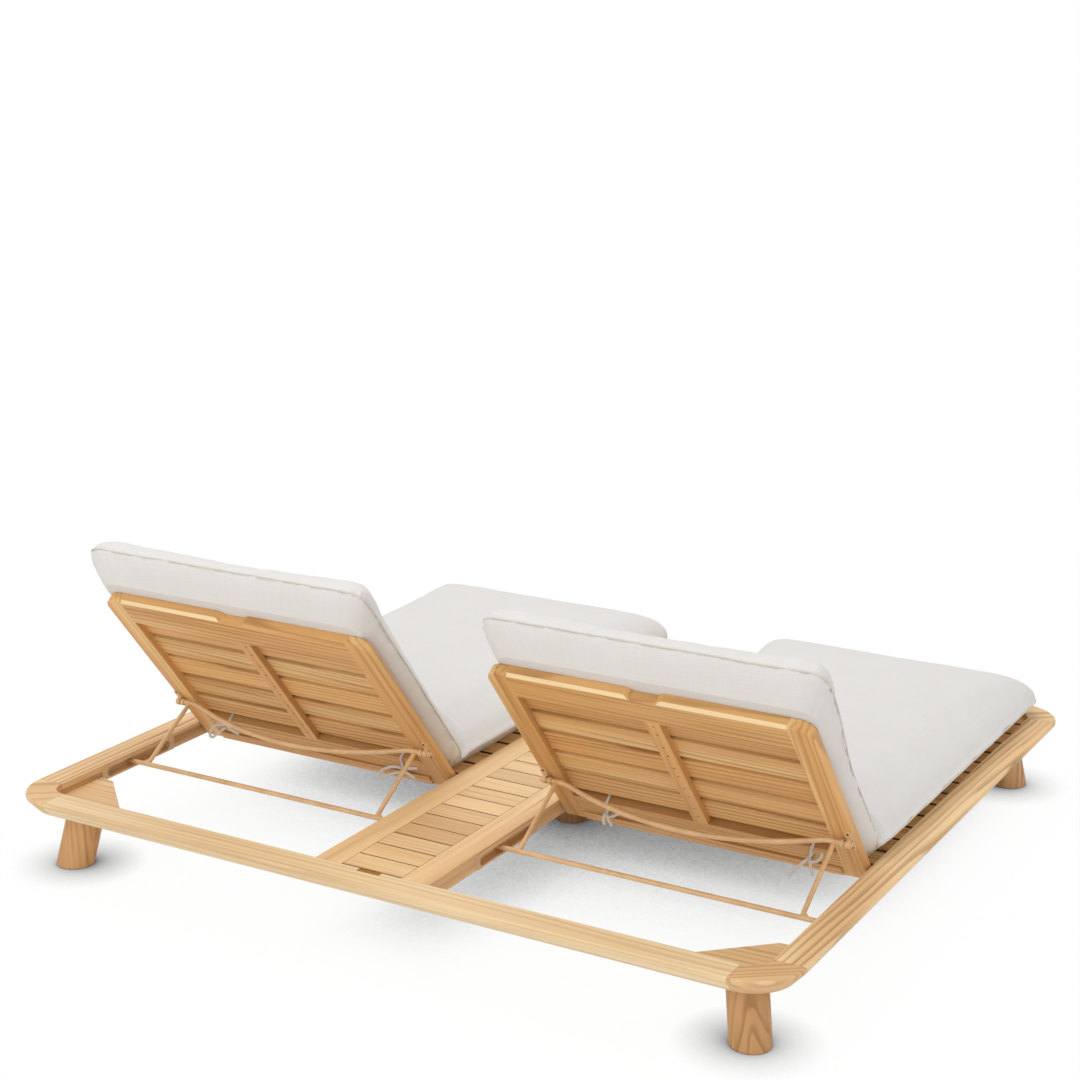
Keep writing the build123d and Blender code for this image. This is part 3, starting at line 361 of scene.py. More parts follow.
def build_timber_grain() -> ShaderGroup:
    """Build the grain of a sawn teak board.

    The board is cut from a ring pattern: the distance from a far, slightly
    tilted axis, bent by noise, gives the growth rings, so faces show long
    arches and ends show curved lines. Each ring darkens slowly and ends
    sharply. Slow bands of warmer heartwood, a fine long fibre, a few thin
    dark streaks and a streak of pale sapwood lie over the rings. The place is
    in metres, with X along the grain, and the board number moves every board
    to other wood.
    """
    teak = TeakPattern()
    group = ShaderGroup("Timber grain", ("Board", "Figure", "Sapwood"), ("Light", "Warm", "Dark", "Pale"))
    bench, given = group.bench, group.inputs
    random = bench.node("TexWhiteNoise", noise_dimensions="1D")
    bench.feed(random.inputs["W"], given["Board"])
    slant, offset, depth = bench.split(random.outputs["Color"], "Color")
    shift = bench.vector("MULTIPLY", random.outputs["Color"], teak.board_shift)
    place = bench.vector("ADD", given["Place"], shift)
    bend = bench.vector("SUBTRACT", bench.noise(place, teak.bend_cells).outputs["Color"], (0.5, 0.5, 0.5))
    bent = bench.vector("ADD", given["Place"], bench.vector("MULTIPLY", bend, teak.bend_size))
    along, across, through = bench.split(bent)
    across = across + along * ((slant - 0.5) * teak.board_slant) + (offset - 0.5) * teak.board_offset
    through = through + (depth * teak.axis_depth[1] + teak.axis_depth[0])
    away = bench.math("SQRT", across * across + through * through)
    uneven = bench.streaks(place, teak.uneven_cells, 1.0)
    ring = bench.math("FRACT", away * teak.rings_per_metre + uneven * teak.unevenness)
    late = bench.ease(ring, *teak.ring_darkens) * (1.0 - bench.ease(ring, *teak.ring_ends))
    late = late * bench.ease(bench.streaks(place, teak.strength_cells), *teak.strength) * given["Figure"]
    fibres = bench.streaks(place, teak.fibre_cells, 1.0)
    heart = bench.streaks(place, teak.heart_cells, 3.0) + (offset - 0.5) * teak.heart_by_board
    colour = bench.mix(bench.ease(heart, *teak.heart), given["Light"], given["Warm"])
    sapwood = bench.ease(bench.streaks(place, teak.sapwood_cells, 1.0), *teak.sapwood) * given["Sapwood"]
    colour = bench.mix(sapwood, colour, given["Pale"])
    streak = bench.ease(bench.streaks(place, teak.streak_cells, 1.0), *teak.streak)
    dark = late * teak.ring_dark + streak * teak.streak_dark
    dark = bench.math("ADD", dark, (fibres - 0.5) * teak.fibre_dark, clamp=True)
    value = bench.node("HueSaturation")
    spread = Signal(bench, random.outputs["Value"]) * teak.value[1] + teak.value[0]
    bench.feed(value.inputs["Value"], spread)
    bench.feed(value.inputs["Color"], bench.mix(dark, colour, given["Dark"]))
    roughness = fibres * teak.roughness[1] + teak.roughness[0]
    group.give(value.outputs[0], roughness, fibres * teak.fibre_height + late * teak.ring_height)
    return group


def build_plain_weave() -> ShaderGroup:
    """Build a plain woven cloth.

    Warp and weft are sine waves of the place, in metres, that pass over each
    other in turn. Long thin noise makes some threads thicker and paler, as in
    a linen-like outdoor cloth.
    """
    wander_cells, wander_size = (60.0, 60.0, 60.0), (0.0012, 0.0012, 0.0)
    slub_cells = ((650.0, 14.0, 1.0), (14.0, 650.0, 1.0))
    cloud_cells = (6.0, 6.0, 1.0)
    plain_shade, over_shade, cloud_shade = 0.35, 0.30, 0.25
    over_height, thread_height, slub_height = 0.45, 0.55, 0.8
    group = ShaderGroup("Plain weave", ("Thread", "Slub"), ("Light", "Dark"))
    bench, given = group.bench, group.inputs
    wander = bench.noise(given["Place"], wander_cells, 1.0).outputs["Color"]
    place = bench.vector("ADD", given["Place"], bench.vector("MULTIPLY", wander, wander_size))
    turns = bench.math("DIVIDE", math.pi, given["Thread"])
    warp, weft = (bench.math("SINE", way * turns) for way in bench.split(place)[:2])
    over = bench.ease(warp * weft, -0.6, 0.6)
    threads = bench.math("MAXIMUM", bench.math("ABSOLUTE", warp), bench.math("ABSOLUTE", weft))
    along, across = (bench.streaks(given["Place"], cells) for cells in slub_cells)
    slub = (along + across - 1.0) * given["Slub"]
    cloud = bench.streaks(given["Place"], cloud_cells, 3.0) - 0.5
    shade = bench.math("ADD", over * over_shade + cloud * cloud_shade, plain_shade - slub, clamp=True)
    colour = bench.mix(shade, given["Light"], given["Dark"])
    height = over * over_height + threads * thread_height + slub * slub_height
    group.give(colour, over * 0.08 + 0.84, height)
    return group


def build_coated_metal() -> ShaderGroup:
    """Build a powder coat: fine orange peel under a faint cloudiness. The place is in metres."""
    group = ShaderGroup("Powder coat", (), ("Light", "Dark"))
    bench, given = group.bench, group.inputs
    peel = bench.streaks(given["Place"], (900.0, 900.0, 900.0))
    cloud = bench.streaks(given["Place"], (22.0, 22.0, 22.0), 3.0)
    colour = bench.mix(bench.ease(cloud, 0.25, 0.8), given["Light"], given["Dark"])
    group.give(colour, cloud * 0.14 + 0.28, peel)
    return group


def build_brushed_metal() -> ShaderGroup:
    """Build a brushed bare metal: very long thin streaks along X of the place, in metres."""
    group = ShaderGroup("Brushed metal", (), ("Light", "Dark"))
    bench, given = group.bench, group.inputs
    brush = bench.streaks(given["Place"], (30.0, 2600.0, 2600.0), 3.0)
    patina = bench.streaks(given["Place"], (120.0, 160.0, 160.0), 3.0)
    shade = brush * 0.5 + patina * 0.5
    colour = bench.mix(bench.ease(shade, 0.3, 0.7), given["Light"], given["Dark"])
    group.give(colour, patina * 0.25 + 0.24, brush)
    return group


class Groups:
    """The shared shader groups, each built when it is first used."""

    made: dict[str, ShaderGroup] = {}
    makers = {
        "timber": build_timber_grain,
        "weave": build_plain_weave,
        "coat": build_coated_metal,
        "brushed": build_brushed_metal,
    }

    @classmethod
    def get(cls, name: str) -> ShaderGroup:
        """Give a group by its short name."""
        if name not in cls.made:
            cls.made[name] = cls.makers[name]()
        return cls.made[name]


def start_material(name: str) -> tuple[bpy.types.Material, NodeBench, bpy.types.Node]:
    """Make an empty material with its shader.

    Args:
        name: the material's name.

    Returns:
        The material, its bench of nodes and its Principled BSDF.
    """
    material = bpy.data.materials.new(name)
    material.use_nodes = True
    bench = NodeBench(material.node_tree)
    return material, bench, material.node_tree.nodes["Principled BSDF"]


def wire_finish(bench: NodeBench, shader: bpy.types.Node, group: bpy.types.Node, relief: float) -> None:
    """Link a group's colour, roughness and height to a shader.

    Args:
        bench: the material's nodes.
        shader: the Principled BSDF.
        group: the placed group.
        relief: the height of the relief, in metres.
    """
    bench.feed(shader.inputs["Base Color"], group.outputs["Color"])
    bench.feed(shader.inputs["Roughness"], group.outputs["Roughness"])
    bump = bench.node("Bump")
    bump.inputs["Strength"].default_value = 1.0
    bump.inputs["Distance"].default_value = relief
    bench.feed(bump.inputs["Height"], group.outputs["Height"])
    bench.feed(shader.inputs["Normal"], bump.outputs["Normal"])


class Grain(Enum):
    """Which way the grain runs, as the turn in degrees that brings it to X."""

    ACROSS = (0.0, 0.0, 0.0)
    LENGTHWAYS = (0.0, 0.0, -90.0)
    UPRIGHT = (0.0, 90.0, 0.0)
    UP_THE_BACK = (math.degrees(RECLINE.raised) - 180.0, 0.0, -90.0)
    DIAGONAL = (0.0, 0.0, -38.0)


@dataclass(frozen=True)
class BoardRow:
    """A row of boards along a direction, told apart at the gaps between them.

    Attributes:
        direction: the way the row runs.
        first: how far along it the middle of the first gap lies.
        pitch: the distance from one gap to the next.
        gap: the width of a gap.
    """

    direction: Triple
    first: float
    pitch: float
    gap: float


@dataclass(frozen=True)
class Accent:
    """A colour on the faces that look along a direction.

    Attributes:
        direction: the way the faces look.
        colour: the colour.
        share: how strong it is.
        both_ways: whether it lies on the opposite faces too.
        until_x: the X that it ends at.
    """

    direction: Triple
    colour: Colour
    share: float
    both_ways: bool = False
    until_x: float = ANYWHERE


@dataclass(frozen=True)
class Palette:
    """The colours that one sort of board runs through."""

    light: Colour
    warm: Colour
    dark: Colour
    pale: Colour


class Tone(Enum):
    """The sorts of teak on the lounger, from pale to dark, partly painted shade: the deeper amber and honey
    stand in for the warm bounced light and shade on the backrests, slats, legs and ledgers.
    """

    PALE = Palette(srgb(240, 219, 180), srgb(226, 197, 152), srgb(178, 136, 90), srgb(246, 231, 198))
    GOLDEN = Palette(srgb(232, 197, 148), srgb(216, 176, 127), srgb(158, 110, 62), srgb(241, 219, 176))
    AMBER = Palette(srgb(227, 178, 114), srgb(208, 155, 93), srgb(150, 96, 46), srgb(241, 211, 150))
    HONEY = Palette(srgb(204, 158, 106), srgb(187, 140, 90), srgb(138, 92, 48), srgb(222, 184, 134))


@dataclass(frozen=True)
class TimberFinish:
    """Oiled teak, with its grain one way and its boards told apart.

    Attributes:
        name: the material's name.
        grain: which way the grain runs.
        seed: picks the wood.
        row: the boards that the piece is a row of.
        half_length: half the length between the seams at its ends, or 0.
        tone: the sort of teak, partly painted shade.
        figure: how strong the rings are.
        sapwood: how strong the sapwood is.
        accent: a colour on some of its faces.
        rim_shade: how strong the painted shade, a brown, is at the gaps of a row.
        rim_width: how far that painted shade reaches from a gap.
        relief: the height of the grain.
        seam_width: the width of an end seam.
        seam_shade: how strong its brown is.
        gap_shade_and_seam_brown: the brown of the painted shade at the gaps, and of the dark seams at the
            ends.
    """

    name: str
    grain: Grain
    seed: float
    row: BoardRow | None = None
    half_length: float = 0.0
    tone: Tone = Tone.GOLDEN
    figure: float = 0.6
    sapwood: float = 0.4
    accent: Accent | None = None
    rim_shade: float = 0.75
    rim_width: float = 0.0022
    relief: float = 0.00005
    seam_width: float = 0.0007
    seam_shade: float = 0.7
    gap_shade_and_seam_brown: Colour = srgb(104, 64, 28)

    def material(self) -> bpy.types.Material:
        """Build the material."""
        material, bench, shader = start_material(self.name)
        place = bench.own_place()
        turn = bench.node("Mapping")
        turn.inputs["Rotation"].default_value = [math.radians(angle) for angle in self.grain.value]
        bench.feed(turn.inputs["Vector"], place)
        along_grain = turn.outputs["Vector"]
        board: object = self.seed
        shaded: object = 0.0
        if self.row:
            row = self.row
            number = (bench.vector("DOT_PRODUCT", place, row.direction) - row.first) / row.pitch
            board = bench.math("FLOOR", number) + self.seed
            # Painted shade: a brown that fades out from each gap of the row.
            from_gap = bench.math("ABSOLUTE", bench.math("FRACT", number + 0.5) - 0.5)
            rim = (row.gap / 2 / row.pitch, (row.gap / 2 + self.rim_width) / row.pitch)
            shaded = bench.ease(from_gap, *rim) * -self.rim_shade + self.rim_shade
        tone = self.tone.value
        colours = {"light": tone.light, "warm": tone.warm, "dark": tone.dark, "pale": tone.pale}
        looks = {"figure": self.figure, "sapwood": self.sapwood, **colours}
        group = Groups.get("timber").place(bench, place=along_grain, board=board, **looks)
        wire_finish(bench, shader, group, self.relief)
        colour = group.outputs["Color"]
        if self.half_length:
            from_middle = bench.math("ABSOLUTE", bench.split(along_grain)[0])
            end = bench.math("GREATER_THAN", from_middle, self.half_length - self.seam_width)
            shaded = bench.math("MAXIMUM", shaded, end * self.seam_shade)
        # Painted shade at the gaps of a row; the dark seams at the ends are joints.
        if self.row or self.half_length:
            colour = bench.mix(shaded, colour, self.gap_shade_and_seam_brown)
        if self.accent:
            colour = bench.mix(self.facing(bench, self.accent), colour, self.accent.colour)
        bench.feed(shader.inputs["Base Color"], colour)
        shader.inputs["Specular IOR Level"].default_value = 0.35
        return material

    def facing(self, bench: NodeBench, accent: Accent) -> Signal:
        """Find the faces that an accent lies on, by the piece's own normals."""
        own = bench.node("VectorTransform", vector_type="NORMAL", convert_from="WORLD", convert_to="OBJECT")
        bench.feed(own.inputs["Vector"], bench.node("NewGeometry").outputs["True Normal"])
        turned = bench.vector("NORMALIZE", own.outputs["Vector"])
        toward = bench.vector("DOT_PRODUCT", turned, accent.direction)
        if accent.both_ways:
            toward = bench.math("ABSOLUTE", toward)
        x = bench.split(bench.own_place())[0]
        within = bench.math("LESS_THAN", x, accent.until_x) * accent.share
        return bench.ease(toward, 0.80, 0.92) * within


class Surface(Enum):
    """A metal's surface: its group, the height of its relief in metres and how metallic it is."""

    COATED = ("coat", 0.00004, 0.0)
    BRUSHED = ("brushed", 0.00002, 1.0)


@dataclass(frozen=True)
class MetalFinish:
    """Metal, bare or with a powder coat."""

    name: str
    light: Colour
    dark: Colour
    surface: Surface = Surface.BRUSHED

    def material(self) -> bpy.types.Material:
        """Build the material."""
        material, bench, shader = start_material(self.name)
        kind, relief, metallic = self.surface.value
        group = Groups.get(kind).place(bench, place=bench.own_place(), light=self.light, dark=self.dark)
        wire_finish(bench, shader, group, relief)
        shader.inputs["Metallic"].default_value = metallic
        return material


@dataclass(frozen=True)
class ClothFinish:
    """Woven cloth on the piece's own UV map, which is in metres."""

    name: str
    light: Colour
    dark: Colour
    thread: float = 0.0009
    slub: float = 0.5
    relief: float = 0.00022

    def material(self) -> bpy.types.Material:
        """Build the material."""
        material, bench, shader = start_material(self.name)
        place = bench.node("UVMap").outputs["UV"]
        group = Groups.get("weave").place(
            bench, place=place, thread=self.thread, light=self.light, dark=self.dark, slub=self.slub
        )
        wire_finish(bench, shader, group, self.relief)
        shader.inputs["Specular IOR Level"].default_value = 0.2
        shader.inputs["Sheen Weight"].default_value = 0.15
        shader.inputs["Sheen Roughness"].default_value = 0.5
        return material


# Meshes


def make_piece(
    name: str, points: np.ndarray, faces: np.ndarray, corners: np.ndarray, material: bpy.types.Material
) -> bpy.types.Object:
    """Make a smooth piece from arrays.

    Args:
        name: the piece's name.
        points: its points, one row each, in metres.
        faces: its four-cornered faces, as point numbers.
        corners: a UV place for each corner of each face.
        material: its finish.

    Returns:
        The new object, at the origin.
    """
    mesh = bpy.data.meshes.new(name)
    mesh.vertices.add(len(points))
    mesh.vertices.foreach_set("co", points.astype(np.float32).ravel())
    mesh.loops.add(faces.size)
    mesh.loops.foreach_set("vertex_index", faces.astype(np.int32).ravel())
    mesh.polygons.add(len(faces))
    mesh.polygons.foreach_set("loop_start", np.arange(0, faces.size, 4, dtype=np.int32))
    mesh.polygons.foreach_set("use_smooth", np.ones(len(faces), bool))
    uv = mesh.uv_layers.new(name="UVMap")
    uv.data.foreach_set("uv", corners.astype(np.float32).ravel())
    mesh.update(calc_edges=True)
    mesh.validate()
    mesh.materials.append(material)
    piece = bpy.data.objects.new(name, mesh)
    bpy.context.scene.collection.objects.link(piece)
    return piece


def grid_faces(rows: int, columns: int, wrap: bool = False) -> np.ndarray:
    """Number the faces of a grid of points.

    Args:
        rows: the number of rows.
        columns: the number of points in each row.
        wrap: whether each row closes on itself.

    Returns:
        The faces, as point numbers.
    """
    width = columns if wrap else columns - 1
    row, column = np.meshgrid(np.arange(rows - 1), np.arange(width), indexing="ij")
    following = (column + 1) % columns
    near, far = row * columns, (row + 1) * columns
    faces = [near + column, near + following, far + following, far + column]
    return np.stack(faces, axis=-1).reshape(-1, 4)


def points_of(piece: bpy.types.Object, kind: str = "co") -> np.ndarray:
    """Read a piece's points, or with the kind normal its point normals, one row each."""
    values = np.empty(len(piece.data.vertices) * 3, np.float32)
    piece.data.vertices.foreach_get(kind, values)
    return values.reshape(-1, 3).astype(float)


def set_points(piece: bpy.types.Object, points: np.ndarray) -> None:
    """Move a piece's points."""
    piece.data.vertices.foreach_set("co", points.astype(np.float32).ravel())
    piece.data.update()


def bake_modifiers(piece: bpy.types.Object) -> None:
    """Replace a piece's mesh by what its modifiers make of it."""
    graph = bpy.context.evaluated_depsgraph_get()
    evaluated = piece.evaluated_get(graph)
    mesh = bpy.data.meshes.new_from_object(evaluated, preserve_all_data_layers=True, depsgraph=graph)
    piece.modifiers.clear()
    piece.data = mesh


@dataclass(frozen=True)
class Waves:
    """Unevenness that looks unplanned: sine waves of mixed lengths, added up.

    Attributes:
        shortest: the shortest wave's length.
        longest: the longest wave's length.
        count: how many waves are added up.
        height: how far they mostly rise.
    """

    shortest: float
    longest: float
    count: int
    height: float = 1.0

    def at(self, along: np.ndarray, seed: int) -> np.ndarray:
        """Work out the waves' heights.

        Args:
            along: the distances along the line that they run on.
            seed: picks their lengths and phases.

        Returns:
            The heights, mostly between the height and its negative.
        """
        random = np.random.default_rng(seed)
        lengths = random.uniform(self.shortest, self.longest, self.count)
        phases = random.uniform(0, TURN, self.count)
        total = np.sin(along[..., None] * (TURN / lengths) + phases).sum(axis=-1)
        return total / math.sqrt(self.count) * self.height


def tube(path: np.ndarray, radii: tuple[float, float], up: np.ndarray, sides: int) -> Arrays:
    """Carry a flat, rounded section along an open path.

    Each ring stands square to the path. Its first axis is the path's
    direction crossed with the up direction, and its second is square to both.
    The section is a superellipse: each of its sines and cosines is raised to
    a power under 1, which squares its corners.

    Args:
        path: the points that the tube follows.
        radii: half the section's width and half its height.
        up: a direction, or one for each point, that the height lies nearest to.
        sides: the number of sides.

    Returns:
        The points, faces and corner UVs, with both ends closed to a point.
    """
    forward = np.gradient(path, axis=0)
    forward /= np.linalg.norm(forward, axis=1, keepdims=True)
    across = np.cross(forward, np.broadcast_to(up, path.shape))
    across /= np.linalg.norm(across, axis=1, keepdims=True)
    upward = np.cross(across, forward)
    angle = np.arange(sides) * TURN / sides
    squareness = 0.55
    wide = np.sign(np.cos(angle)) * np.abs(np.cos(angle)) ** squareness * radii[0]
    high = np.sign(np.sin(angle)) * np.abs(np.sin(angle)) ** squareness * radii[1]
    rings = path[:, None] + wide[None, :, None] * across[:, None] + high[None, :, None] * upward[:, None]
    caps = [np.repeat(path[end, None], sides, 1) for end in (slice(0, 1), slice(-1, None))]
    rings = np.concatenate([caps[0], rings, caps[1]])
    faces = grid_faces(len(rings), sides, wrap=True)[:, ::-1]
    run = np.concatenate([[0], np.cumsum(np.linalg.norm(np.diff(path, axis=0), axis=1))])
    run = np.concatenate([run[:1], run, run[-1:]])
    around = np.cumsum(np.full(sides, sum(radii) * 4 / sides))
    place = np.stack(np.broadcast_arrays(run[:, None], around), axis=-1)
    return rings.reshape(-1, 3), faces, place.reshape(-1, 2)[faces]


def smooth_path(points: np.ndarray, steps: int = 12) -> np.ndarray:
    """Draw a smooth line through a few points, as a Catmull-Rom spline.

    Args:
        points: the points that the line passes through.
        steps: how many pieces each stretch is cut into.

    Returns:
        The line's points.
    """
    knots = np.concatenate([2 * points[:1] - points[1:2], points, 2 * points[-1:] - points[-2:-1]])
    share = np.linspace(0, 1, steps, endpoint=False)[:, None]
    stretches = []
    for before, start, end, after in zip(knots, knots[1:], knots[2:], knots[3:]):
        bend = 2 * before - 5 * start + 4 * end - after
        twist = 3 * start - 3 * end + after - before
        stretches.append(start + 0.5 * share * (end - before + share * (bend + share * twist)))
    return np.concatenate([*stretches, knots[-2:-1]])


# The mattresses


def fade(distance: np.ndarray, reach: float) -> np.ndarray:
    """Fade out with distance: a power of e."""
    return np.exp(-distance / reach)


def bell(distance: np.ndarray, width: float) -> np.ndarray:
    """Fade out to both sides: a power of e of the distance squared."""
    return np.exp(-((distance / width) ** 2))


@dataclass
class Mattress:
    """One lounger's mattress: a crowned top, a piped seam and a boxed side under it.

    It is worked out flat, where a place is its X, its distance along the
    mattress from the hinge (towards the foot end) and its height above the
    slats, and is then folded up along the backrest. A pair of values is one
    for the back and one for the seat.

    Attributes:
        side: the lounger that it lies on.
        cloth: the cover's finish.
        piping: the piping's finish.
        inner: the X of the long side nearer to the spine, on the right lounger.
        outer: the X of the other long side.
        head_end: the head end's distance from the hinge.
        foot_end: the foot end's distance from the hinge.
        seam_height: how high the seam runs above the slats.
        slat_top: the slats' height above the hinge.
        back_lift: how far the back half's base lies off its slats.
        back_drawn_in: how far the back's long sides draw in under the seam.
        head_drawn_in: the same at the head end.
        seat_drawn_in: the same on the seat.
        end_zone: how far from an end its drawing in reaches.
        fold_waist: how far the outer side is drawn in on the back.
        flare: how far it comes out again at the head end.
        corner_size: the size of a corner's rounding.
        corner_power: the power of its superellipse.
        crowns: how far the crown rises over the seam.
        reaches: how far in from the seam it rises.
        domes: how far the low dome rises over the crown.
        dome_reach: how far in from the seam that dome rises.
        fold_zone: how far to each side of the fold the grid is close.
        line_counts: the grid lines on the back, at the fold, on the seat and across.
        fold_length: the length of the zone that bends.
        pipe_radius: the piping's radius.
        swell: the most that the cloth simulation may move a point.
        roll_shares: the grid lines on the crown, as shares of its roll.
        side_heights: the heights of the rings down the side.
        gathers: the short waves at the seam.
        drags: the longer waves beside it.
        slow: the unevenness of the whole, along the mattress.
        slow_across: what that is multiplied by, across it.
        crumple: the waves at the fold.
        pipe_wander: how the piping rises and falls.
        seed: picks the waves.
    """

    side: Side
    cloth: bpy.types.Material
    piping: bpy.types.Material
    inner: float = 0.160
    outer: float = 0.994
    head_end: float = -0.733
    foot_end: float = 1.249
    seam_height: float = 0.053
    slat_top: float = 0.0125
    back_lift: float = 0.004
    back_drawn_in: float = 0.031
    head_drawn_in: float = 0.080
    seat_drawn_in: float = 0.050
    end_zone: float = 0.20
    fold_waist: float = 0.013
    flare: float = 0.027
    corner_size: float = 0.062
    corner_power: float = 3.4
    crowns: tuple[float, float] = (0.055, 0.068)
    reaches: tuple[float, float] = (0.062, 0.092)
    domes: tuple[float, float] = (0.008, 0.010)
    dome_reach: float = 0.34
    fold_zone: float = 0.11
    line_counts: tuple[int, int, int, int] = (34, 34, 60, 46)
    fold_length: float = 0.056
    pipe_radius: float = 0.0019
    swell: float = 0.014
    roll_shares: tuple[float, ...] = (0, 0.04, 0.09, 0.16, 0.27, 0.40, 0.55, 0.75, 1.0)
    side_heights: tuple[float, ...] = (0.050, 0.046, 0.040, 0.033, 0.025, 0.017, 0.009, 0.003, 0.0)
    gathers: Waves = Waves(0.016, 0.045, 9)
    drags: Waves = Waves(0.05, 0.16, 7, 0.0014)
    slow: Waves = Waves(0.22, 0.60, 5)
    slow_across: Waves = Waves(0.25, 0.7, 3, 0.0011)
    crumple: Waves = Waves(0.014, 0.040, 6, 0.0024)
    pipe_wander: Waves = Waves(0.05, 0.3, 6, 0.0006)
    seed: int = 7

    @property
    def half_width(self) -> float:
        """Half the width at the seam."""
        return (self.outer - self.inner) / 2

    @property
    def half_length(self) -> float:
        """Half the length at the seam."""
        return (self.foot_end - self.head_end) / 2

    @property
    def middle(self) -> tuple[float, float]:
        """The middle's X and its distance from the hinge."""
        return (self.inner + self.outer) / 2, (self.head_end + self.foot_end) / 2

    def seat_share(self, along: np.ndarray) -> np.ndarray:
        """How much of the seat's shape a place has, from 0 on the back to 1 on the seat."""
        start, length = -0.10, 0.22
        return smoothstep((along - start) / length)

    def mixed(self, pair: tuple[float, float], along: np.ndarray) -> np.ndarray:
        """Mix the back's value and the seat's by the seat's share."""
        return pair[0] + (pair[1] - pair[0]) * self.seat_share(along)

    def grid(self) -> Arrays:
        """Lay out the top panel's grid lines.

        Near the seam the lines are close together, at equal turns of the
        crown's roll, and they are close again at the fold.

        Returns:
            The insets from the two long sides, the side that each line is
            nearer to as -1 or 1, and the nominal places along the mattress.
        """
        rolled = 1 - np.cos(np.array(self.roll_shares) * math.pi / 2)
        head, foot = (reach * rolled for reach in self.reaches)
        on_back, at_fold, on_seat, crosswise = self.line_counts
        zone = self.fold_zone
        back = np.linspace(self.head_end + self.reaches[0], -zone, on_back)[1:-1]
        fold = np.linspace(-zone, zone, at_fold)
        seat = np.linspace(zone, self.foot_end - self.reaches[1], on_seat)[1:-1]
        places = np.concatenate([self.head_end + head, back, fold, seat, (self.foot_end - foot)[::-1]])
        reach = self.mixed(self.reaches, places)[None, :]
        inner = np.linspace(0, 2, crosswise)[1:-1]
        roll = reach * rolled[:, None]
        middle = reach + (self.half_width - reach) * np.minimum(inner, 2 - inner)[:, None]
        insets = np.concatenate([roll, middle, roll[::-1]])
        signs = np.concatenate([-np.ones(len(rolled)), np.sign(inner - 1), np.ones(len(rolled))])
        return insets, signs, places

    def plan(self, insets: np.ndarray, signs: np.ndarray, places: np.ndarray) -> Arrays:
        """Round the grid's corners.

        In a corner, a place is moved towards the corner's centre so that
        lines of equal inset become superellipses: its larger coordinate from
        the centre becomes the superellipse's own size. The outer side is
        drawn in at the fold and flares towards the head end.

        Args:
            insets: the grid's insets from the long sides.
            signs: the side that each line is nearer to.
            places: the nominal places along the mattress.

        Returns:
            The X, the place along the mattress and the inset of each point.
        """
        size, power = self.corner_size, self.corner_power
        from_end = np.minimum(places - self.head_end, self.foot_end - places)[None, :]
        wide = np.maximum(1 - insets / size, 0)
        long = np.maximum(1 - from_end / size, 0) * np.ones_like(wide)
        corner = (wide > 0) & (long > 0)
        norm = np.where(corner, (wide**power + long**power) ** (1 / power), 1)
        shrink = np.where(corner, np.maximum(wide, long) / norm, 1)
        across = np.where(corner, size * (1 - wide * shrink), insets)
        inward = np.where(corner, size * (1 - long * shrink), from_end)
        middle_x, middle_along = self.middle
        x = middle_x + signs[:, None] * (self.half_width - across)
        along = np.where(places < middle_along, self.head_end + inward, self.foot_end - inward)
        outer_share = np.clip((x - middle_x) / self.half_width, 0, 1)
        waist_fades_over, flare_start, flare_length = 0.08, -0.30, 0.40
        waist = -self.fold_waist * (1 - smoothstep(along / waist_fades_over))
        x = x + (waist + self.flare * smoothstep((flare_start - along) / flare_length)) * outer_share
        return x, along, np.minimum(insets, from_end * np.ones_like(insets))

    def top_height(self, insets: np.ndarray, along: np.ndarray, inset: np.ndarray) -> np.ndarray:
        """Work out the top's height above the slats.

        The crown rises from the seam as a quarter of an ellipse, and a low
        dome follows, a parabola from each side.

        Args:
            insets: the distances in from the long sides.
            along: the places along the mattress.
            inset: the distances in from the nearest side or end.

        Returns:
            The heights.
        """
        roll = np.sqrt(1 - (1 - np.clip(inset / self.mixed(self.reaches, along), 0, 1)) ** 2)
        from_end = np.minimum(along - self.head_end, self.foot_end - along)
        rises = [1 - (1 - np.clip(gap / self.dome_reach, 0, 1)) ** 2 for gap in (insets, from_end)]
        crown = self.mixed(self.crowns, along) * roll
        return self.seam_height + crown + self.mixed(self.domes, along) * (rises[0] * rises[1])

    def side_ring(self, base: np.ndarray, level: float) -> np.ndarray:
        """Draw points in towards the middle, as far as the side does at a level.

        On the back the side draws in along a quarter wave, and on the seat
        in a straight line.

        Args:
            base: the points to draw in.
            level: the height above the slats.

        Returns:
            The points at that level.
        """
        rise, seat = level / self.seam_height, self.seat_share(base[:, 1:2])
        turn = 1 - math.sin(math.pi / 2 * rise)
        straight = self.seat_drawn_in * (1 - rise) * seat
        sideways = self.back_drawn_in * turn * (1 - seat) + straight
        endways = self.head_drawn_in * turn * (1 - seat) + straight
        from_x, from_along = base[:, :1] - self.middle[0], base[:, 1:2] - self.middle[1]
        x = self.middle[0] + from_x * (1 - sideways / self.half_width)
        end_share = smoothstep(1 - (self.half_length - np.abs(from_along)) / self.end_zone)
        along = base[:, 1:2] - np.sign(from_along) * endways * end_share
        return np.column_stack([x, along, level + self.back_lift * (1 - seat) * (1 - rise)])

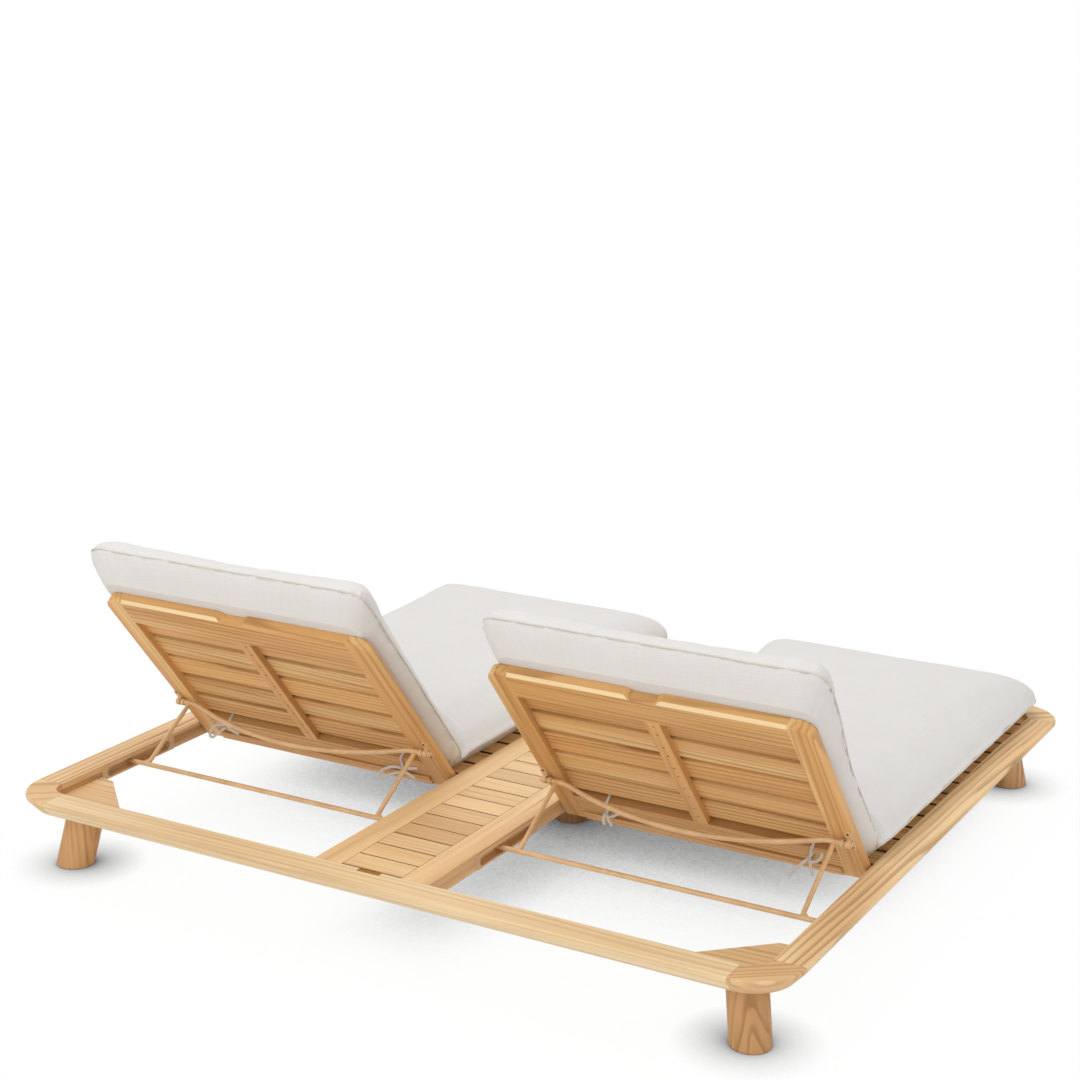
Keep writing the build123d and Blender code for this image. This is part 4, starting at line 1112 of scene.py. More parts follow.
    def flat_shape(self) -> tuple[np.ndarray, np.ndarray, np.ndarray, np.ndarray]:
        """Work out the mattress flat, before it swells.

        The top panel is a grid, the side is rings under the grid's edge, and
        the base is the same grid again. The UV map lays the top out flat by
        the arc lengths of its middle lines, with the side around it.

        Returns:
            The points, the faces, their corner UVs, and the numbers of the
            seam's points in order.
        """
        insets, signs, places = self.grid()
        x, along, inset = self.plan(insets, signs, places)
        height = self.top_height(insets, along, inset)
        rows, columns = x.shape
        top = np.stack([x, along, height], axis=-1).reshape(-1, 3)
        number = np.arange(rows * columns).reshape(rows, columns)
        edge = np.concatenate([number[0, :-1], number[:-1, -1], number[-1, :0:-1], number[:0:-1, 0]])
        rings, points, total = [edge], [top], len(top)
        for level in self.side_heights:
            ring = self.side_ring(top if level == 0 else top[edge], level)
            points.append(ring)
            rings.append(total + (edge if level == 0 else np.arange(len(edge))))
            total += len(ring)
        lines = ((x, np.s_[:, columns // 2]), (along, np.s_[rows // 2, :]))
        steps = [np.hypot(np.diff(run[line]), np.diff(height[line])) for run, line in lines]
        arcs = [np.concatenate([[0], np.cumsum(step)]) for step in steps]
        sheet = np.stack(np.meshgrid(*arcs, indexing="ij"), axis=-1).reshape(-1, 2)
        panel = grid_faces(rows, columns)
        faces, corners = [panel[:, ::-1]], [sheet[panel[:, ::-1]]]
        rim = sheet[edge]
        at_edge = [np.isclose(line, arc[0]) | np.isclose(line, arc[-1]) for line, arc in zip(rim.T, arcs)]
        outward = np.sign(rim - sheet.mean(axis=0)) * np.column_stack(at_edge)
        ahead = np.roll(np.arange(len(edge)), -1)
        slope, previous = 1.2, 0.0
        for above, below, level in zip(rings, rings[1:], self.side_heights):
            depth = (self.seam_height - level) * slope
            faces.append(np.column_stack([above, below, below[ahead], above[ahead]])[:, ::-1])
            upper, lower = rim + outward * previous, rim + outward * depth
            corners.append(np.stack([upper, lower, lower[ahead], upper[ahead]], axis=1)[:, ::-1])
            previous = depth
        faces.append(panel + (total - len(top)))
        corners.append(sheet[panel])
        points, faces, corners = np.concatenate(points), np.concatenate(faces), np.concatenate(corners)
        if self.side is Side.LEFT:
            points[:, 0] *= -1
            faces, corners = faces[:, ::-1], corners[:, ::-1]
        return points, faces, corners, edge

    def inflate(self, piece: bpy.types.Object, held: np.ndarray) -> None:
        """Swell the mattress as a pressurised cloth, and keep the result.

        The seam and the base are held. No point may move further than the
        swell.

        Args:
            piece: the flat mattress.
            held: the numbers of the points that stay.
        """
        scene = bpy.context.scene
        start = points_of(piece)
        group = piece.vertex_groups.new(name="held")
        group.add(held.tolist(), 1.0, "REPLACE")
        cloth = piece.modifiers.new("Cloth", "CLOTH")
        settings = {
            "vertex_group_mass": "held",
            "quality": 5,
            "mass": 0.15,
            "tension_stiffness": 12,
            "compression_stiffness": 12,
            "shear_stiffness": 4,
            "bending_stiffness": 0.4,
            "shrink_min": -0.012,
            "use_pressure": True,
            "uniform_pressure_force": 4,
        }
        for name, value in settings.items():
            setattr(cloth.settings, name, value)
        cloth.settings.effector_weights.gravity = 0
        cloth.point_cache.frame_start, cloth.point_cache.frame_end = 1, 20
        for step in range(1, 21):
            scene.frame_set(step)
        bake_modifiers(piece)
        piece.vertex_groups.clear()
        scene.frame_set(1)
        moved = points_of(piece) - start
        size = np.linalg.norm(moved, axis=1, keepdims=True)
        log.info("%s swelled by up to %.1f mm", piece.name, size.max() * 1000)
        swell = self.swell * smoothstep((start[:, 2] - self.seam_height) / 0.012)
        moved *= np.tanh(size / self.swell) * swell[:, None] / np.maximum(size, 1e-9)
        set_points(piece, start + moved)

    def tailor(self, piece: bpy.types.Object) -> None:
        """Pinch the seam, gather the cloth beside it and crease the fold.

        Gathers, longer drags and a slow unevenness are sums of sine waves
        that move the points along their normals. They fade with the distance
        from the seam, and the gathers are strongest in the corners. At the
        fold the top sinks, the side tucks in and its lower edge rounds under.
        The places and heights are views, so the steps after the first move
        see the moved points.
        """
        gather_reach, drag_reach, corner_reach = 0.016, 0.045, 0.09
        corner_gather, plain_gather, lost_on_seat = 0.0016, 0.0009, 0.7
        pinch_depth, pinch_reach, pinch_width = 0.0011, 0.006, 0.0045
        sink_depth, tuck_depth, under_depth = 0.020, 0.009, 0.022
        points = points_of(piece)
        x, along, height = np.abs(points[:, 0]), points[:, 1], points[:, 2]
        from_side = np.minimum(x - self.inner, self.outer - x)
        from_end = np.minimum(along - self.head_end, self.foot_end - along)
        rim = np.minimum(from_side, from_end)
        below = height - self.seam_height
        near = np.abs(below) + np.maximum(rim - 0.03, 0)
        beside = np.where(from_side < from_end, along, x * 1.3 + 3.1)
        seeds = [self.seed + self.side.value + step for step in (0, 10, 20, 30, 40)]
        in_corner = fade(np.maximum(from_side, 0) + np.maximum(from_end, 0), corner_reach)
        gathers = self.gathers.at(beside, seeds[0]) * fade(near, gather_reach)
        gathers *= (plain_gather + corner_gather * in_corner) * (1 - lost_on_seat * self.seat_share(along))
        drags = self.drags.at(beside, seeds[1]) * fade(near, drag_reach)
        slow = self.slow.at(along + 0.6 * x, seeds[2]) * self.slow_across.at(x, seeds[3])
        pinch = -pinch_depth * bell(np.abs(below) + np.maximum(rim - pinch_reach, 0), pinch_width)
        bunched = bell(along, 0.045) * fade(np.maximum(rim - 0.01, 0), 0.025)
        crumple = self.crumple.at(height + 0.4 * along, seeds[4]) * bunched
        move = (gathers + drags + slow + pinch + crumple) * smoothstep(height / 0.012)
        points += points_of(piece, "normal") * move[:, None]
        points[:, 2] -= sink_depth * bell(along, 0.030) * smoothstep((height - self.seam_height) / 0.03)
        tuck = bell(along, 0.022) * bell(below, 0.035) * smoothstep(1 - from_side / 0.05)
        under = bell(along, 0.050) * smoothstep(-below / self.seam_height) * smoothstep(1 - from_side / 0.09)
        inward = np.sign(self.middle[0] * self.side.value - points[:, 0])
        points[:, 0] += inward * (tuck_depth * tuck + under_depth * under)
        set_points(piece, points)

    @property
    def square_to_fold(self) -> float:
        """The angle square to the fold's middle plane."""
        return math.pi / 2 + (math.pi - RECLINE.raised) / 2

    def fold(self, flat: np.ndarray) -> np.ndarray:
        """Fold flat places up along the backrest, into the frame.

        Around the hinge axis, a place turns up by the back's angle times a
        share. The share is the smoothstep of how far across the fold's zone
        the folded place lies, square to the fold's middle plane. The share is found by halving an interval.

        Args:
            flat: X, the place along and the height, one row for each point.

        Returns:
            The points in the frame.
        """
        forward, upward = flat[:, 1], flat[:, 2] + self.slat_top
        radius, angle = np.hypot(forward, upward), np.arctan2(upward, forward)
        low, high = np.zeros(len(flat)), np.ones(len(flat))
        halvings = 40
        for _ in range(halvings):
            share = (low + high) / 2
            from_plane = radius * np.cos(angle - RECLINE.raised * share - self.square_to_fold)
            across = 0.5 + from_plane / self.fold_length
            under = share < smoothstep(across)
            low, high = np.where(under, share, low), np.where(under, high, share)
        turned = angle - RECLINE.raised * (low + high) / 2
        y = RECLINE.hinge_y + radius * np.cos(turned)
        z = RECLINE.hinge_z + radius * np.sin(turned)
        return np.column_stack([flat[:, 0], y, z])

    def bend_with_backrest(self, piece: bpy.types.Object) -> None:
        """Bake the piece's transform into its mesh."""
        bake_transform(piece)

    def build(self) -> list[bpy.types.Object]:
        """Build the mattress and its piping."""
        points, faces, corners, edge = self.flat_shape()
        body = make_piece(f"mattress_{self.side.word}", points, faces, corners, self.cloth)
        seam = points[edge]
        base_height = 0.0055
        held = np.concatenate([edge, np.flatnonzero(points[:, 2] < base_height)])
        self.inflate(body, held)
        finer = body.modifiers.new("Finer", "SUBSURF")
        finer.levels = finer.render_levels = 1
        bake_modifiers(body)
        self.tailor(body)
        set_points(body, self.fold(points_of(body)))
        piping = self.build_piping(seam)
        for piece in (body, piping):
            self.bend_with_backrest(piece)
            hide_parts(f"seat_cushion_{self.side.word}", f"back_cushion_{self.side.word}")
        return [body, piping]

    def build_piping(self, seam: np.ndarray) -> bpy.types.Object:
        """Build the piping: a round cord along the seam, worked out flat and folded with it.

        Args:
            seam: the seam's points in order, on the flat mattress.

        Returns:
            The piping.
        """
        spacing, sides, passes, side_width = 0.006, 10, 2, 0.0016
        upward = np.array([0, 0, 1.0])
        loop = np.concatenate([seam, seam[:1]])
        run = np.concatenate([[0], np.cumsum(np.linalg.norm(np.diff(loop, axis=0), axis=1))])
        count = int(run[-1] / spacing)
        steps = np.linspace(0, run[-1], count, endpoint=False)
        path = np.column_stack([np.interp(steps, run, loop[:, axis]) for axis in range(3)])
        for _ in range(passes):
            path = (np.roll(path, 1, axis=0) + 2 * path + np.roll(path, -1, axis=0)) / 4
        forward = np.roll(path, -1, axis=0) - np.roll(path, 1, axis=0)
        forward /= np.linalg.norm(forward, axis=1, keepdims=True)
        outward = np.cross(forward, upward)
        outward *= np.sign(np.sum(outward * (path - path.mean(axis=0)), axis=1))[:, None]
        stands_out, tucked_in, seat_in, tucked_down = 0.0006, 0.006, 0.0012, 0.003
        tuck = bell(path[:, 1], 0.016)
        out = stands_out - tucked_in * tuck - seat_in * self.seat_share(path[:, 1])
        path += outward * out[:, None]
        path[:, 2] += self.pipe_wander.at(steps, self.seed) - tucked_down * tuck
        angle = np.arange(sides) * TURN / sides
        section = np.cos(angle)[None, :, None] * outward[:, None] + np.sin(angle)[None, :, None] * upward
        rings = path[:, None] + self.pipe_radius * section
        number = np.arange(count * sides).reshape(count, sides)
        number = np.concatenate([number, number[:1]])
        turned = np.roll(number, -1, 1)
        faces = np.stack([number[:-1], turned[:-1], turned[1:], number[1:]], axis=-1).reshape(-1, 4)
        around = np.arange(sides + 1) * side_width
        place = np.stack(np.broadcast_arrays(np.append(steps, run[-1])[:, None], around), axis=-1)
        corners = [place[:-1, :-1], place[:-1, 1:], place[1:, 1:], place[1:, :-1]]
        corners = np.stack(corners, axis=2).reshape(-1, 4, 2)
        if self.side is Side.RIGHT:
            faces, corners = faces[:, ::-1], corners[:, ::-1]
        folded = self.fold(rings.reshape(-1, 3))
        return make_piece(f"mattress_piping_{self.side.word}", folded, faces, corners, self.piping)


# The sub-assemblies of the solids


def put_on(piece: bpy.types.Object, material: bpy.types.Material) -> None:
    """Give a piece one material."""
    piece.data.materials.clear()
    piece.data.materials.append(material)


class Metals:
    """The metal finishes, each one material that several sub-assemblies share."""

    def __init__(self) -> None:
        """Build the finishes."""
        sand = (srgb(224, 186, 137), srgb(206, 166, 117))
        self.coat = MetalFinish("Sand powder coat", *sand, Surface.COATED).material()
        self.steel = MetalFinish("Stainless steel", srgb(205, 203, 198), srgb(150, 147, 142)).material()
        # Painted shade: the backrest screws are near black so that their heads look like shaded recesses.
        self.recess_shade_steel = MetalFinish("Steel painted dark as recess shade", srgb(74, 64, 54), srgb(44, 37, 31)).material()
        self.brass = MetalFinish("Brass plate", srgb(214, 180, 112), srgb(176, 140, 78)).material()


@dataclass
class SubAssembly:
    """A part of the lounger that is dressed as one."""

    metals: Metals

    def nodes(self, *starts: str) -> list[tuple[str, bpy.types.Object]]:
        """Find the solids whose names start with one of the words.

        Args:
            starts: the words.

        Returns:
            Each solid's name and its object.
        """
        return [(node, piece) for node, piece in frame["nodes"].items() if node.startswith(starts)]

    def timber(self, start: str, grain: Grain, tone: Tone, **looks: object) -> None:
        """Dress timber pieces, each cut from its own wood.

        Args:
            start: the word that the pieces' names start with.
            grain: which way their grain runs.
            tone: their sort of teak, partly painted shade.
            looks: other settings of TimberFinish.
        """
        for node, piece in self.nodes(start):
            seed = float(sum(map(ord, node)) % 97)
            put_on(piece, TimberFinish(f"Teak {node}", grain, seed, tone=tone, **looks).material())
            log.info("timber: %s", node)

    def metal(self, material: bpy.types.Material, *starts: str) -> None:
        """Dress metal pieces.

        Args:
            material: their finish.
            starts: the words that their names start with.
        """
        for node, piece in self.nodes(*starts):
            put_on(piece, material)
            log.info("metal: %s", node)


@dataclass
class RailFrame(SubAssembly):
    """The four rails, with their corners and the brass plate."""

    end_half_length: float = 0.931
    side_half_length: float = 0.880

    def dress(self) -> None:
        """Dress the rails, the corner blocks, the gussets under them and the plate."""
        for end in ("head_rail", "foot_rail"):
            self.timber(end, Grain.ACROSS, Tone.PALE, half_length=self.end_half_length, figure=0.5)
        rails = {"half_length": self.side_half_length, "figure": 0.95}
        self.timber("side_rail", Grain.LENGTHWAYS, Tone.GOLDEN, **rails)
        self.timber("corner_block", Grain.DIAGONAL, Tone.GOLDEN)
        self.timber("corner_gusset", Grain.ACROSS, Tone.GOLDEN)
        self.metal(self.metals.brass, "label_plate")


@dataclass
class Legs(SubAssembly):
    """The five turned legs, with their studs and the middle leg's bearer."""

    def dress(self) -> None:
        """Dress the legs, the bearer and the studs."""
        for leg in ("leg_head", "leg_foot", "centre_leg"):
            self.timber(leg, Grain.UPRIGHT, Tone.HONEY)
        self.timber("centre_bearer", Grain.LENGTHWAYS, Tone.HONEY)
        self.metal(self.metals.steel, "leg_studs")


@dataclass
class Spine(SubAssembly):
    """The strip of short boards between the two loungers."""

    half_length: float = 0.930
    board_half_length: float = 0.0835
    pitch: float = 0.0717
    first_gap: float = -0.8545
    gap: float = 0.0024

    def dress(self) -> None:
        """Dress the rails, the boards and the ledgers under them."""
        row = BoardRow((0.0, 1.0, 0.0), self.first_gap, self.pitch, self.gap)
        # Painted shade: the boards' edge faces, which look into the gaps, are dark brown.
        edges = Accent(row.direction, srgb(96, 58, 26), 0.8, both_ways=True)
        rails = {"half_length": self.half_length, "figure": 0.35, "sapwood": 0.1}
        self.timber("spine_rail", Grain.LENGTHWAYS, Tone.GOLDEN, **rails)
        boards = {"half_length": self.board_half_length, "seam_width": 0.0018, "figure": 0.3, "sapwood": 0.2}
        self.timber("spine_slats", Grain.ACROSS, Tone.GOLDEN, row=row, accent=edges, **boards)
        self.timber("spine_ledgers", Grain.LENGTHWAYS, Tone.HONEY)


@dataclass
class SeatDecks(SubAssembly):
    """The slats under both seats, with their ledgers and the plates that the stays run in."""

    pitch: float = 0.08708
    first_gap: float = -0.2761
    gap: float = 0.011

    def dress(self) -> None:
        """Dress the slats, the ledgers, the slot plates with their screws and the hinge pins."""
        row = BoardRow((0.0, 1.0, 0.0), self.first_gap, self.pitch, self.gap)
        # Painted shade: the slats' edge faces, which look into the gaps, are dark brown.
        edges = Accent(row.direction, srgb(84, 50, 22), 0.8, both_ways=True)
        self.timber("seat_slats", Grain.ACROSS, Tone.AMBER, row=row, accent=edges)
        self.timber("seat_ledgers", Grain.LENGTHWAYS, Tone.HONEY)
        self.metal(self.metals.coat, "slot_plates")
        self.metal(self.metals.steel, "slot_plate_screws", "hinge_pins")


@dataclass
class Backrest(SubAssembly):
    """One backrest: its stiles, rails, slats and batten, with its screws and brackets."""

    side: Side
    pitch: float = 0.0893
    first_gap: float = 0.0972
    gap: float = 0.0165

    def dress(self) -> None:
        """Dress the timber, the screws and the brackets of this side."""
        word = self.side.word
        up, behind = RECLINE.up_the_back, RECLINE.behind_the_back
        row = BoardRow(tuple(up), float(RECLINE.hinge @ up) + self.first_gap, self.pitch, self.gap)
        strip_end = -0.57 if self.side is Side.LEFT else 9.0
        bevel = Accent(tuple((up + behind) / math.sqrt(2)), srgb(247, 222, 174), 0.75, until_x=strip_end)
        # Painted shade: the bottom rail's top face, which looks up the back, is darkened to brown.
        top = Accent(tuple(up), srgb(128, 82, 38), 0.55)
        for stile in ("stile_inner_", "stile_outer_"):
            self.timber(stile + word, Grain.UP_THE_BACK, Tone.AMBER, figure=0.5)
        self.timber("top_rail_" + word, Grain.ACROSS, Tone.AMBER, accent=bevel, figure=0.7)
        self.timber("bottom_rail_" + word, Grain.ACROSS, Tone.AMBER, accent=top, figure=0.7)
        self.timber("back_slats_" + word, Grain.ACROSS, Tone.AMBER, row=row, rim_shade=0.12, figure=0.75)
        self.timber("back_batten_" + word, Grain.UP_THE_BACK, Tone.AMBER, sapwood=0.0)
        # Painted shade: near-black screws stand for shaded recesses.
        self.metal(self.metals.recess_shade_steel, "backrest_screws_" + word)
        self.metal(self.metals.coat, "stay_brackets_" + word)


@dataclass
class Stay(SubAssembly):
    """One folding stay: the bowed rod, the struts and the cross rod."""

    side: Side

    def dress(self) -> None:
        """Dress the rods of this side."""
        word = self.side.word
        self.metal(self.metals.coat, "stay_bow_" + word, "stay_struts_" + word, "stay_cross_rod_" + word)


# The ties


@dataclass
class CushionTie:
    """A tape tie behind a backrest: its ends come over the bottom rail and are tied in a bow.

    The bow's points are given from the knot, in millimetres: X along the
    hinge axis, then out towards the head end, then up.

    Attributes:
        side: the backrest that it rides on.
        name: the tie's own name.
        x: the knot's place along the hinge axis, in metres.
        knot_up: the knot's place up the back.
        lean: how far aside the tape comes over the rail.
        loop: the bow's loop, from the knot round and back.
        tails: the two free ends.
        tape: the tape's finish.
        rail_top: the bottom rail's top, up the back from the hinge.
        rail_back: how far its back face lies behind the back's middle plane.
        width: the tape's width.
        thickness: the tape's thickness.
        sides: the sides of the tape's section.
    """

    side: Side
    name: str
    x: float
    knot_up: float
    lean: float
    loop: list[Triple]
    tails: list[list[Triple]]
    tape: bpy.types.Material
    rail_top: float = 0.094
    rail_back: float = 0.012
    width: float = 0.0078
    thickness: float = 0.0015
    sides: int = 10

    @property
    def knot(self) -> np.ndarray:
        """The knot's middle."""
        return RECLINE.on_back(self.x, self.knot_up, self.rail_back + 0.0055)

    def strap(self, lift: float) -> tuple[np.ndarray, np.ndarray]:
        """Lead a tape from under the mattress over the rail and down to the knot.

        Args:
            lift: how far off the rail the tape's middle lies.

        Returns:
            The points of the route, and the way that the tape faces at each.
        """
        x, top, back = self.x + self.lean, self.rail_top + lift, self.rail_back + lift
        middle = (top + self.knot_up) / 2
        route = [
            (x, top, -0.013),
            (x, top, 0.002),
            (x, top - 0.0004, back - 0.0025),
            (x - 0.1 * self.lean, top - 0.0032, back),
            (x - 0.5 * self.lean, middle, back + 0.001),
            (self.x + 0.1 * self.lean, self.knot_up + 0.006, back + 0.003),
        ]
        up, behind = RECLINE.up_the_back, RECLINE.behind_the_back
        faces = [up, up, up + 0.6 * behind, behind + 0.4 * up, behind, behind]
        return np.array([RECLINE.on_back(*place) for place in route]), np.array(faces)

    def from_knot(self, points: list[Triple]) -> np.ndarray:
        """Place the bow's points in the frame."""
        x, out, up = np.array(points).T / 1000
        return self.knot + np.column_stack([x, -out, up])

    def lay_tape(self, name: str, points: np.ndarray, faces: np.ndarray) -> bpy.types.Object:
        """Args:
            name: the piece's name.
            points: the points that the tape runs through.
            faces: the way that it faces at each of them.

        Returns:
            The tape.
        """
        path, facing = smooth_path(points), smooth_path(faces)
        size = (self.width / 2, self.thickness / 2)
        piece = make_piece(name, *tube(path, size, facing, self.sides), self.tape)
        return piece

    def build_knot(self) -> bpy.types.Object:
        """Build the knot: a turn and a half of tape around the tie's middle."""
        turns = np.linspace(0, 1.6 * TURN, 60)
        x, y, z = 0.0052 * np.cos(turns), -0.0048 * np.sin(turns) - 0.0008, 0.0035 * (turns / TURN - 0.8)
        half_size = (self.width * 0.42, self.thickness / 2)
        band = tube(self.knot + np.column_stack([x, y, z]), half_size, np.array([0, 0, 1.0]), self.sides)
        return make_piece(f"tie_knot_{self.name}", *band, self.tape)

    def build(self) -> list[bpy.types.Object]:
        """Build the tie and let it ride on the backrest."""
        knot = self.build_knot()
        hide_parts(f"cushion_ties_{self.side.word}")
        pieces = [knot]
        away = np.array([0.1, -1.0, 0.35])
        for number, tail in enumerate(self.tails):
            route, faces = self.strap(self.thickness * (0.55 + 1.05 * number))
            hanging = self.from_knot(tail)
            route = np.concatenate([route, hanging])
            faces = np.concatenate([faces, np.tile(away, (len(hanging), 1))])
            pieces.append(self.lay_tape(f"tie_tail_{number + 1}_{self.name}", route, faces))
        loop = self.from_knot(self.loop)
        twist = np.linspace(-0.9, 0.9, len(loop))
        faces = np.column_stack([0.5 * twist, -np.ones(len(loop)), 0.5 + 0.4 * twist])
        pieces.append(self.lay_tape(f"tie_loop_{self.name}", loop, faces))
        for piece in pieces:
            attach(piece, f"backrest_{self.side.word}")
        return pieces


def plan_ties(tape: bpy.types.Material) -> list[CushionTie]:
    """List the four ties, each with its own bow.

    Args:
        tape: the tape's finish.

    Returns:
        The ties, from left to right.
    """
    return [
        CushionTie(
            Side.LEFT, "left_outer", -0.8526, 0.0800, 0.012,
            [(-3, 5, 1), (-14, 9, -1), (-32, 12, -4), (-45, 13, -18), (-53, 12, -36),
             (-44, 11, -41), (-28, 10, -29), (-13, 8, -16), (-3, 6, -8)],
            [[(4, 6, 1), (15, 9, 2), (32, 10, 3), (48, 10, 3)],
             [(4, 6, -4), (14, 9, -8), (29, 10, -12), (45, 10, -16)]],
            tape,
        ),
        CushionTie(
            Side.LEFT, "left_inner", -0.2980, 0.0460, 0.012,
            [(-3, 5, 2), (-16, 10, 5), (-36, 12, 1), (-56, 12, -10), (-68, 11, -23),
             (-60, 10, -30), (-42, 10, -22), (-20, 8, -13), (-3, 6, -8)],
            [[(4, 6, 2), (16, 9, 6), (34, 10, 11), (52, 10, 14)],
             [(4, 6, -3), (13, 9, -4), (28, 10, -9), (43, 10, -15)]],
            tape,
        ),
        CushionTie(
            Side.RIGHT, "right_inner", 0.3030, 0.0480, 0.012,
            [(2, 5, 3), (8, 9, 13), (20, 12, 22), (33, 13, 22), (39, 12, 14),
             (30, 11, 5), (16, 9, -3), (4, 6, -8)],
            [[(-3, 6, -2), (-5, 10, -9), (-4, 12, -18), (0, 12, -27)],
             [(3, 6, -4), (8, 10, -10), (14, 12, -18), (20, 12, -26)]],
            tape,
        ),
        CushionTie(
            Side.RIGHT, "right_outer", 0.8391, 0.0480, 0.016,
            [(2, 5, 3), (8, 9, 14), (17, 12, 27), (27, 13, 34), (34, 12, 26),
             (33, 11, 12), (24, 10, 1), (12, 8, -5), (3, 6, -9)],
            [[(-3, 6, -2), (-14, 10, -13), (-29, 13, -31), (-45, 14, -50)],
             [(3, 6, -4), (6, 9, -13), (10, 11, -26), (12, 11, -39)]],
            tape,
        ),
    ]


# The studio


@dataclass
class Shade:
    """A soft shade on the floor, from how much of the sky is blocked.

    Attributes:
        reach: how far off the sky's light can be blocked, in metres.
        power: how quickly the shade fades where less of the sky is blocked.
        depth: how dark the shade is where all of the sky is blocked.
        samples: how many rays look for the sky each time.
        darkest: the least light that is left.
    """

    reach: float
    power: float
    depth: float
    samples: int
    darkest: float = 0.1

    def light_left(self, bench: NodeBench) -> Signal:
        """Tell how much light the shade leaves, from its darkest to 1 in the open."""
        sky = bench.node("AmbientOcclusion", samples=self.samples)
        sky.inputs["Distance"].default_value = self.reach
        blocked = bench.math("POWER", bench.math("SUBTRACT", 1.0, sky.outputs["AO"]), self.power)
        return bench.math("MAXIMUM", blocked * -self.depth + 1.0, self.darkest)


@dataclass
class Lamp:
    """A square soft lamp: where it hangs, what it aims at, its width in metres and its watts."""

    name: str
    place: Triple
    aim: Triple
    size: float
    power: float

    def hang(self) -> None:
        """Add the lamp to the scene."""
        data = bpy.data.lights.new(self.name, "AREA")
        data.shape, data.size, data.energy = "SQUARE", self.size, self.power
        lamp = bpy.data.objects.new(self.name, data)
        lamp.location = self.place
        lamp.rotation_euler = (Vector(self.aim) - lamp.location).to_track_quat("-Z", "Y").to_euler()
        bpy.context.scene.collection.objects.link(lamp)


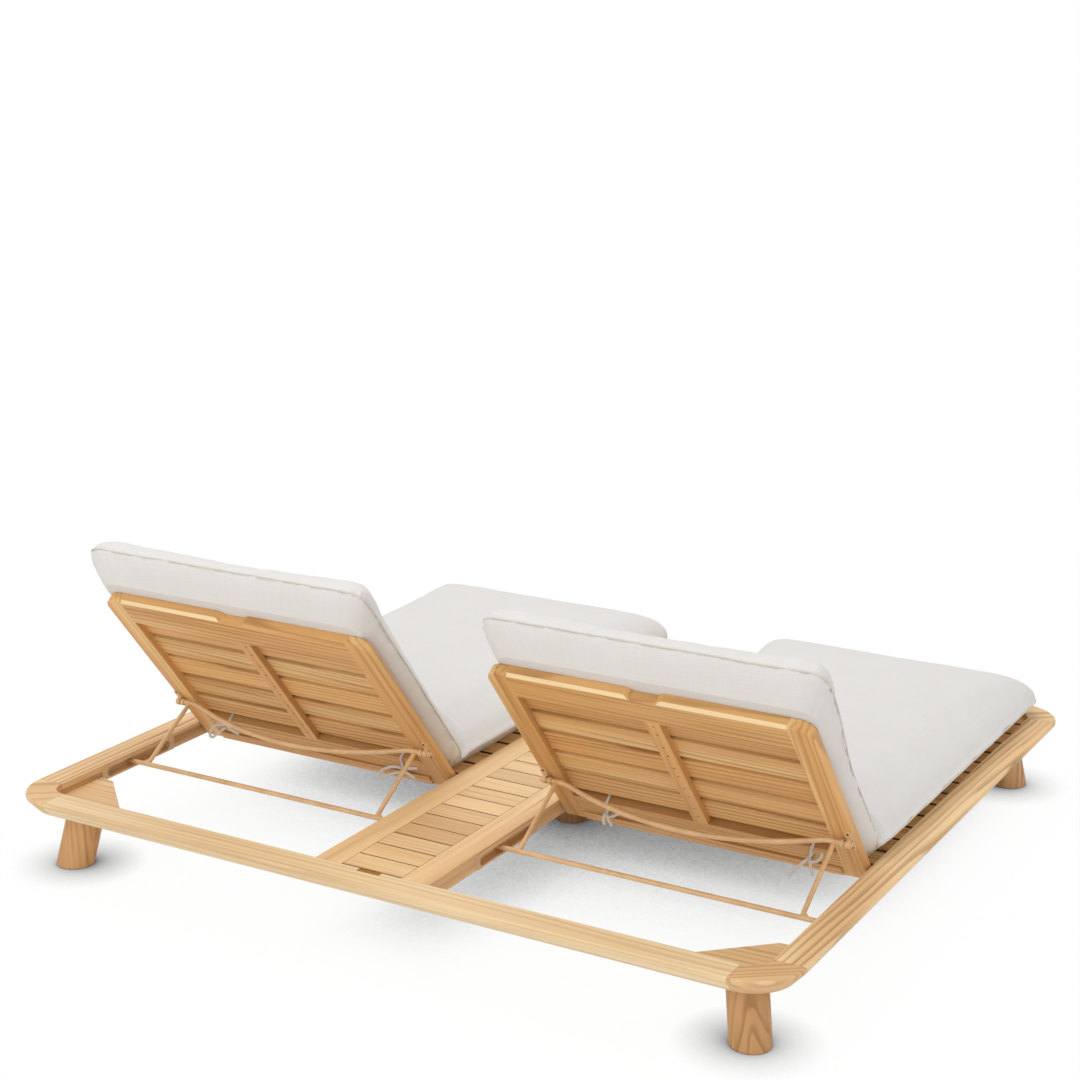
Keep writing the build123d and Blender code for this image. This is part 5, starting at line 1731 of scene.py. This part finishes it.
@dataclass
class Studio:
    """The floor, the lights and the camera.

    Attributes:
        camera_place: where the camera stands.
        view_direction: the way it looks.
        roll: how far it is turned about that way.
        view_angle: the width of its view.
        world_strength: the even light's strength.
        glow_share: how much of the floor's look is its own glow.
        white_from: how far from the middle the floor starts to turn white, and ends.
        floor_radii: the radii of the floor's rings of points.
        floor_sides: how many points each ring has.
        shades: the wide shade and the one right beside what stands there.
        lamps: the lamps.
    """

    camera_place: Triple = (2.5419, -4.6223, 2.1526)
    view_direction: Triple = (-0.4789, 0.8410, -0.2519)
    roll: float = math.radians(0.47)
    view_angle: float = math.radians(28.88)
    world_strength: float = 0.72
    glow_share: float = 0.97
    white_from: tuple[float, float] = (1.5, 3.4)
    floor_radii: tuple[float, ...] = (0.001, 1.0, 2.0, 4.0, 8.0, 20.0, 60.0)
    floor_sides: int = 96
    shades: tuple[Shade, ...] = (Shade(1.4, 11.0, 1.25, 14), Shade(0.13, 0.85, 1.4, 6))
    lamps: tuple[Lamp, ...] = (
        Lamp("overhead", (-0.8, 0.6, 5.0), (0.0, 0.0, 0.2), 5.0, 95.0),
        Lamp("front", (-0.6, -6.0, 3.4), (0.0, -0.2, 0.3), 4.5, 108.0),
        Lamp("side", (6.0, -1.0, 2.6), (0.0, 0.0, 0.3), 4.0, 30.0),
    )

    def build_camera(self) -> None:
        """Stand the camera where the photograph was taken from."""
        data = bpy.data.cameras.new("Camera")
        data.sensor_width = 36.0
        data.lens = data.sensor_width / 2 / math.tan(self.view_angle / 2)
        data.clip_start, data.clip_end = 0.05, 200.0
        camera = bpy.data.objects.new("Camera", data)
        bpy.context.scene.collection.objects.link(camera)
        forward = Vector(self.view_direction).normalized()
        level = forward.cross(Vector((0, 0, 1))).normalized()
        upright = level.cross(forward)
        right = level * math.cos(self.roll) + upright * math.sin(self.roll)
        up = upright * math.cos(self.roll) - level * math.sin(self.roll)
        turn = Matrix((right, up, -forward)).transposed().to_4x4()
        camera.matrix_world = Matrix.Translation(self.camera_place) @ turn
        bpy.context.scene.camera = camera

    def build_floor(self) -> None:
        """Lay a round pale floor that turns white further out. Its look is mostly its own glow, dimmed by a
        painted shadow where the sky is blocked.
        """
        angle = np.arange(self.floor_sides) * TURN / self.floor_sides
        radii = np.array(self.floor_radii)[:, None]
        points = [radii * np.cos(angle), radii * np.sin(angle), np.zeros((len(radii), len(angle)))]
        flat = np.stack(points, axis=-1).reshape(-1, 3)
        faces = grid_faces(len(radii), len(angle), wrap=True)
        material, bench, shader = start_material("Floor")
        floor = make_piece("floor", flat, faces, flat[faces][:, :, :2], material)
        shader.inputs["Base Color"].default_value = srgb(247, 247, 247)
        shader.inputs["Roughness"].default_value = 0.9
        shader.inputs["Specular IOR Level"].default_value = 0.0
        glow = bench.node("Emission")
        level = bench.vector("MULTIPLY", bench.own_place(), (1.0, 1.0, 0.0))
        far = bench.ease(bench.vector("LENGTH", level), *self.white_from)
        # Painted shadow: the floor's glow is dimmed where the sky is blocked, both widely and right beside
        # what stands there.
        wide, near = (shade.light_left(bench) for shade in self.shades)
        bench.feed(glow.inputs["Strength"], bench.math("MAXIMUM", wide * near, far))
        share = bench.image_rays() * bench.math("MAXIMUM", far, self.glow_share)
        looks = bench.blend_shaders(share, shader.outputs[0], glow.outputs[0])
        bench.feed(material.node_tree.nodes["Material Output"].inputs["Surface"], looks)

    def build_world(self) -> None:
        """Light the scene evenly, and show plain white behind it."""
        world = bpy.data.worlds.new("World")
        world.use_nodes = True
        bpy.context.scene.world = world
        bench = NodeBench(world.node_tree)
        lit, seen = world.node_tree.nodes["Background"], bench.node("Background")
        lit.inputs["Strength"].default_value = self.world_strength
        for light in (lit, seen):
            light.inputs["Color"].default_value = (1, 1, 1, 1)
        looks = bench.blend_shaders(bench.image_rays(), lit.outputs[0], seen.outputs[0])
        bench.feed(world.node_tree.nodes["World Output"].inputs["Surface"], looks)

    def build(self) -> None:
        """Set up the whole studio."""
        bpy.context.scene.view_settings.view_transform = "Standard"
        self.build_camera()
        self.build_floor()
        for lamp in self.lamps:
            lamp.hang()
        self.build_world()


def main() -> None:
    """Build and dress the whole lounger, sub-assembly by sub-assembly."""
    logging.basicConfig(level=logging.INFO, format="%(name)s: %(message)s")
    Studio().build()
    metals = Metals()
    for part in (RailFrame(metals), Legs(metals), Spine(metals), SeatDecks(metals)):
        part.dress()
    cloth = ClothFinish("Outdoor cloth", srgb(230, 228, 225), srgb(211, 207, 203)).material()
    # The piping's cloth is darker and warmer than the cover's: painted shade along the seam.
    piping = ClothFinish("Piping cloth", srgb(224, 216, 204), srgb(202, 190, 172), 0.0008).material()
    for side in Side:
        Backrest(metals, side).dress()
        Stay(metals, side).dress()
        for piece in Mattress(side, cloth, piping).build():
            log.info("mattress: %s, %d faces", piece.name, len(piece.data.polygons))
    tape = ClothFinish("Tie tape", srgb(222, 214, 203), srgb(186, 176, 163), 0.0008, 0.4, 0.0002).material()
    for tie in plan_ties(tape):
        tie.build()


if __name__ == "__main__":
    main()
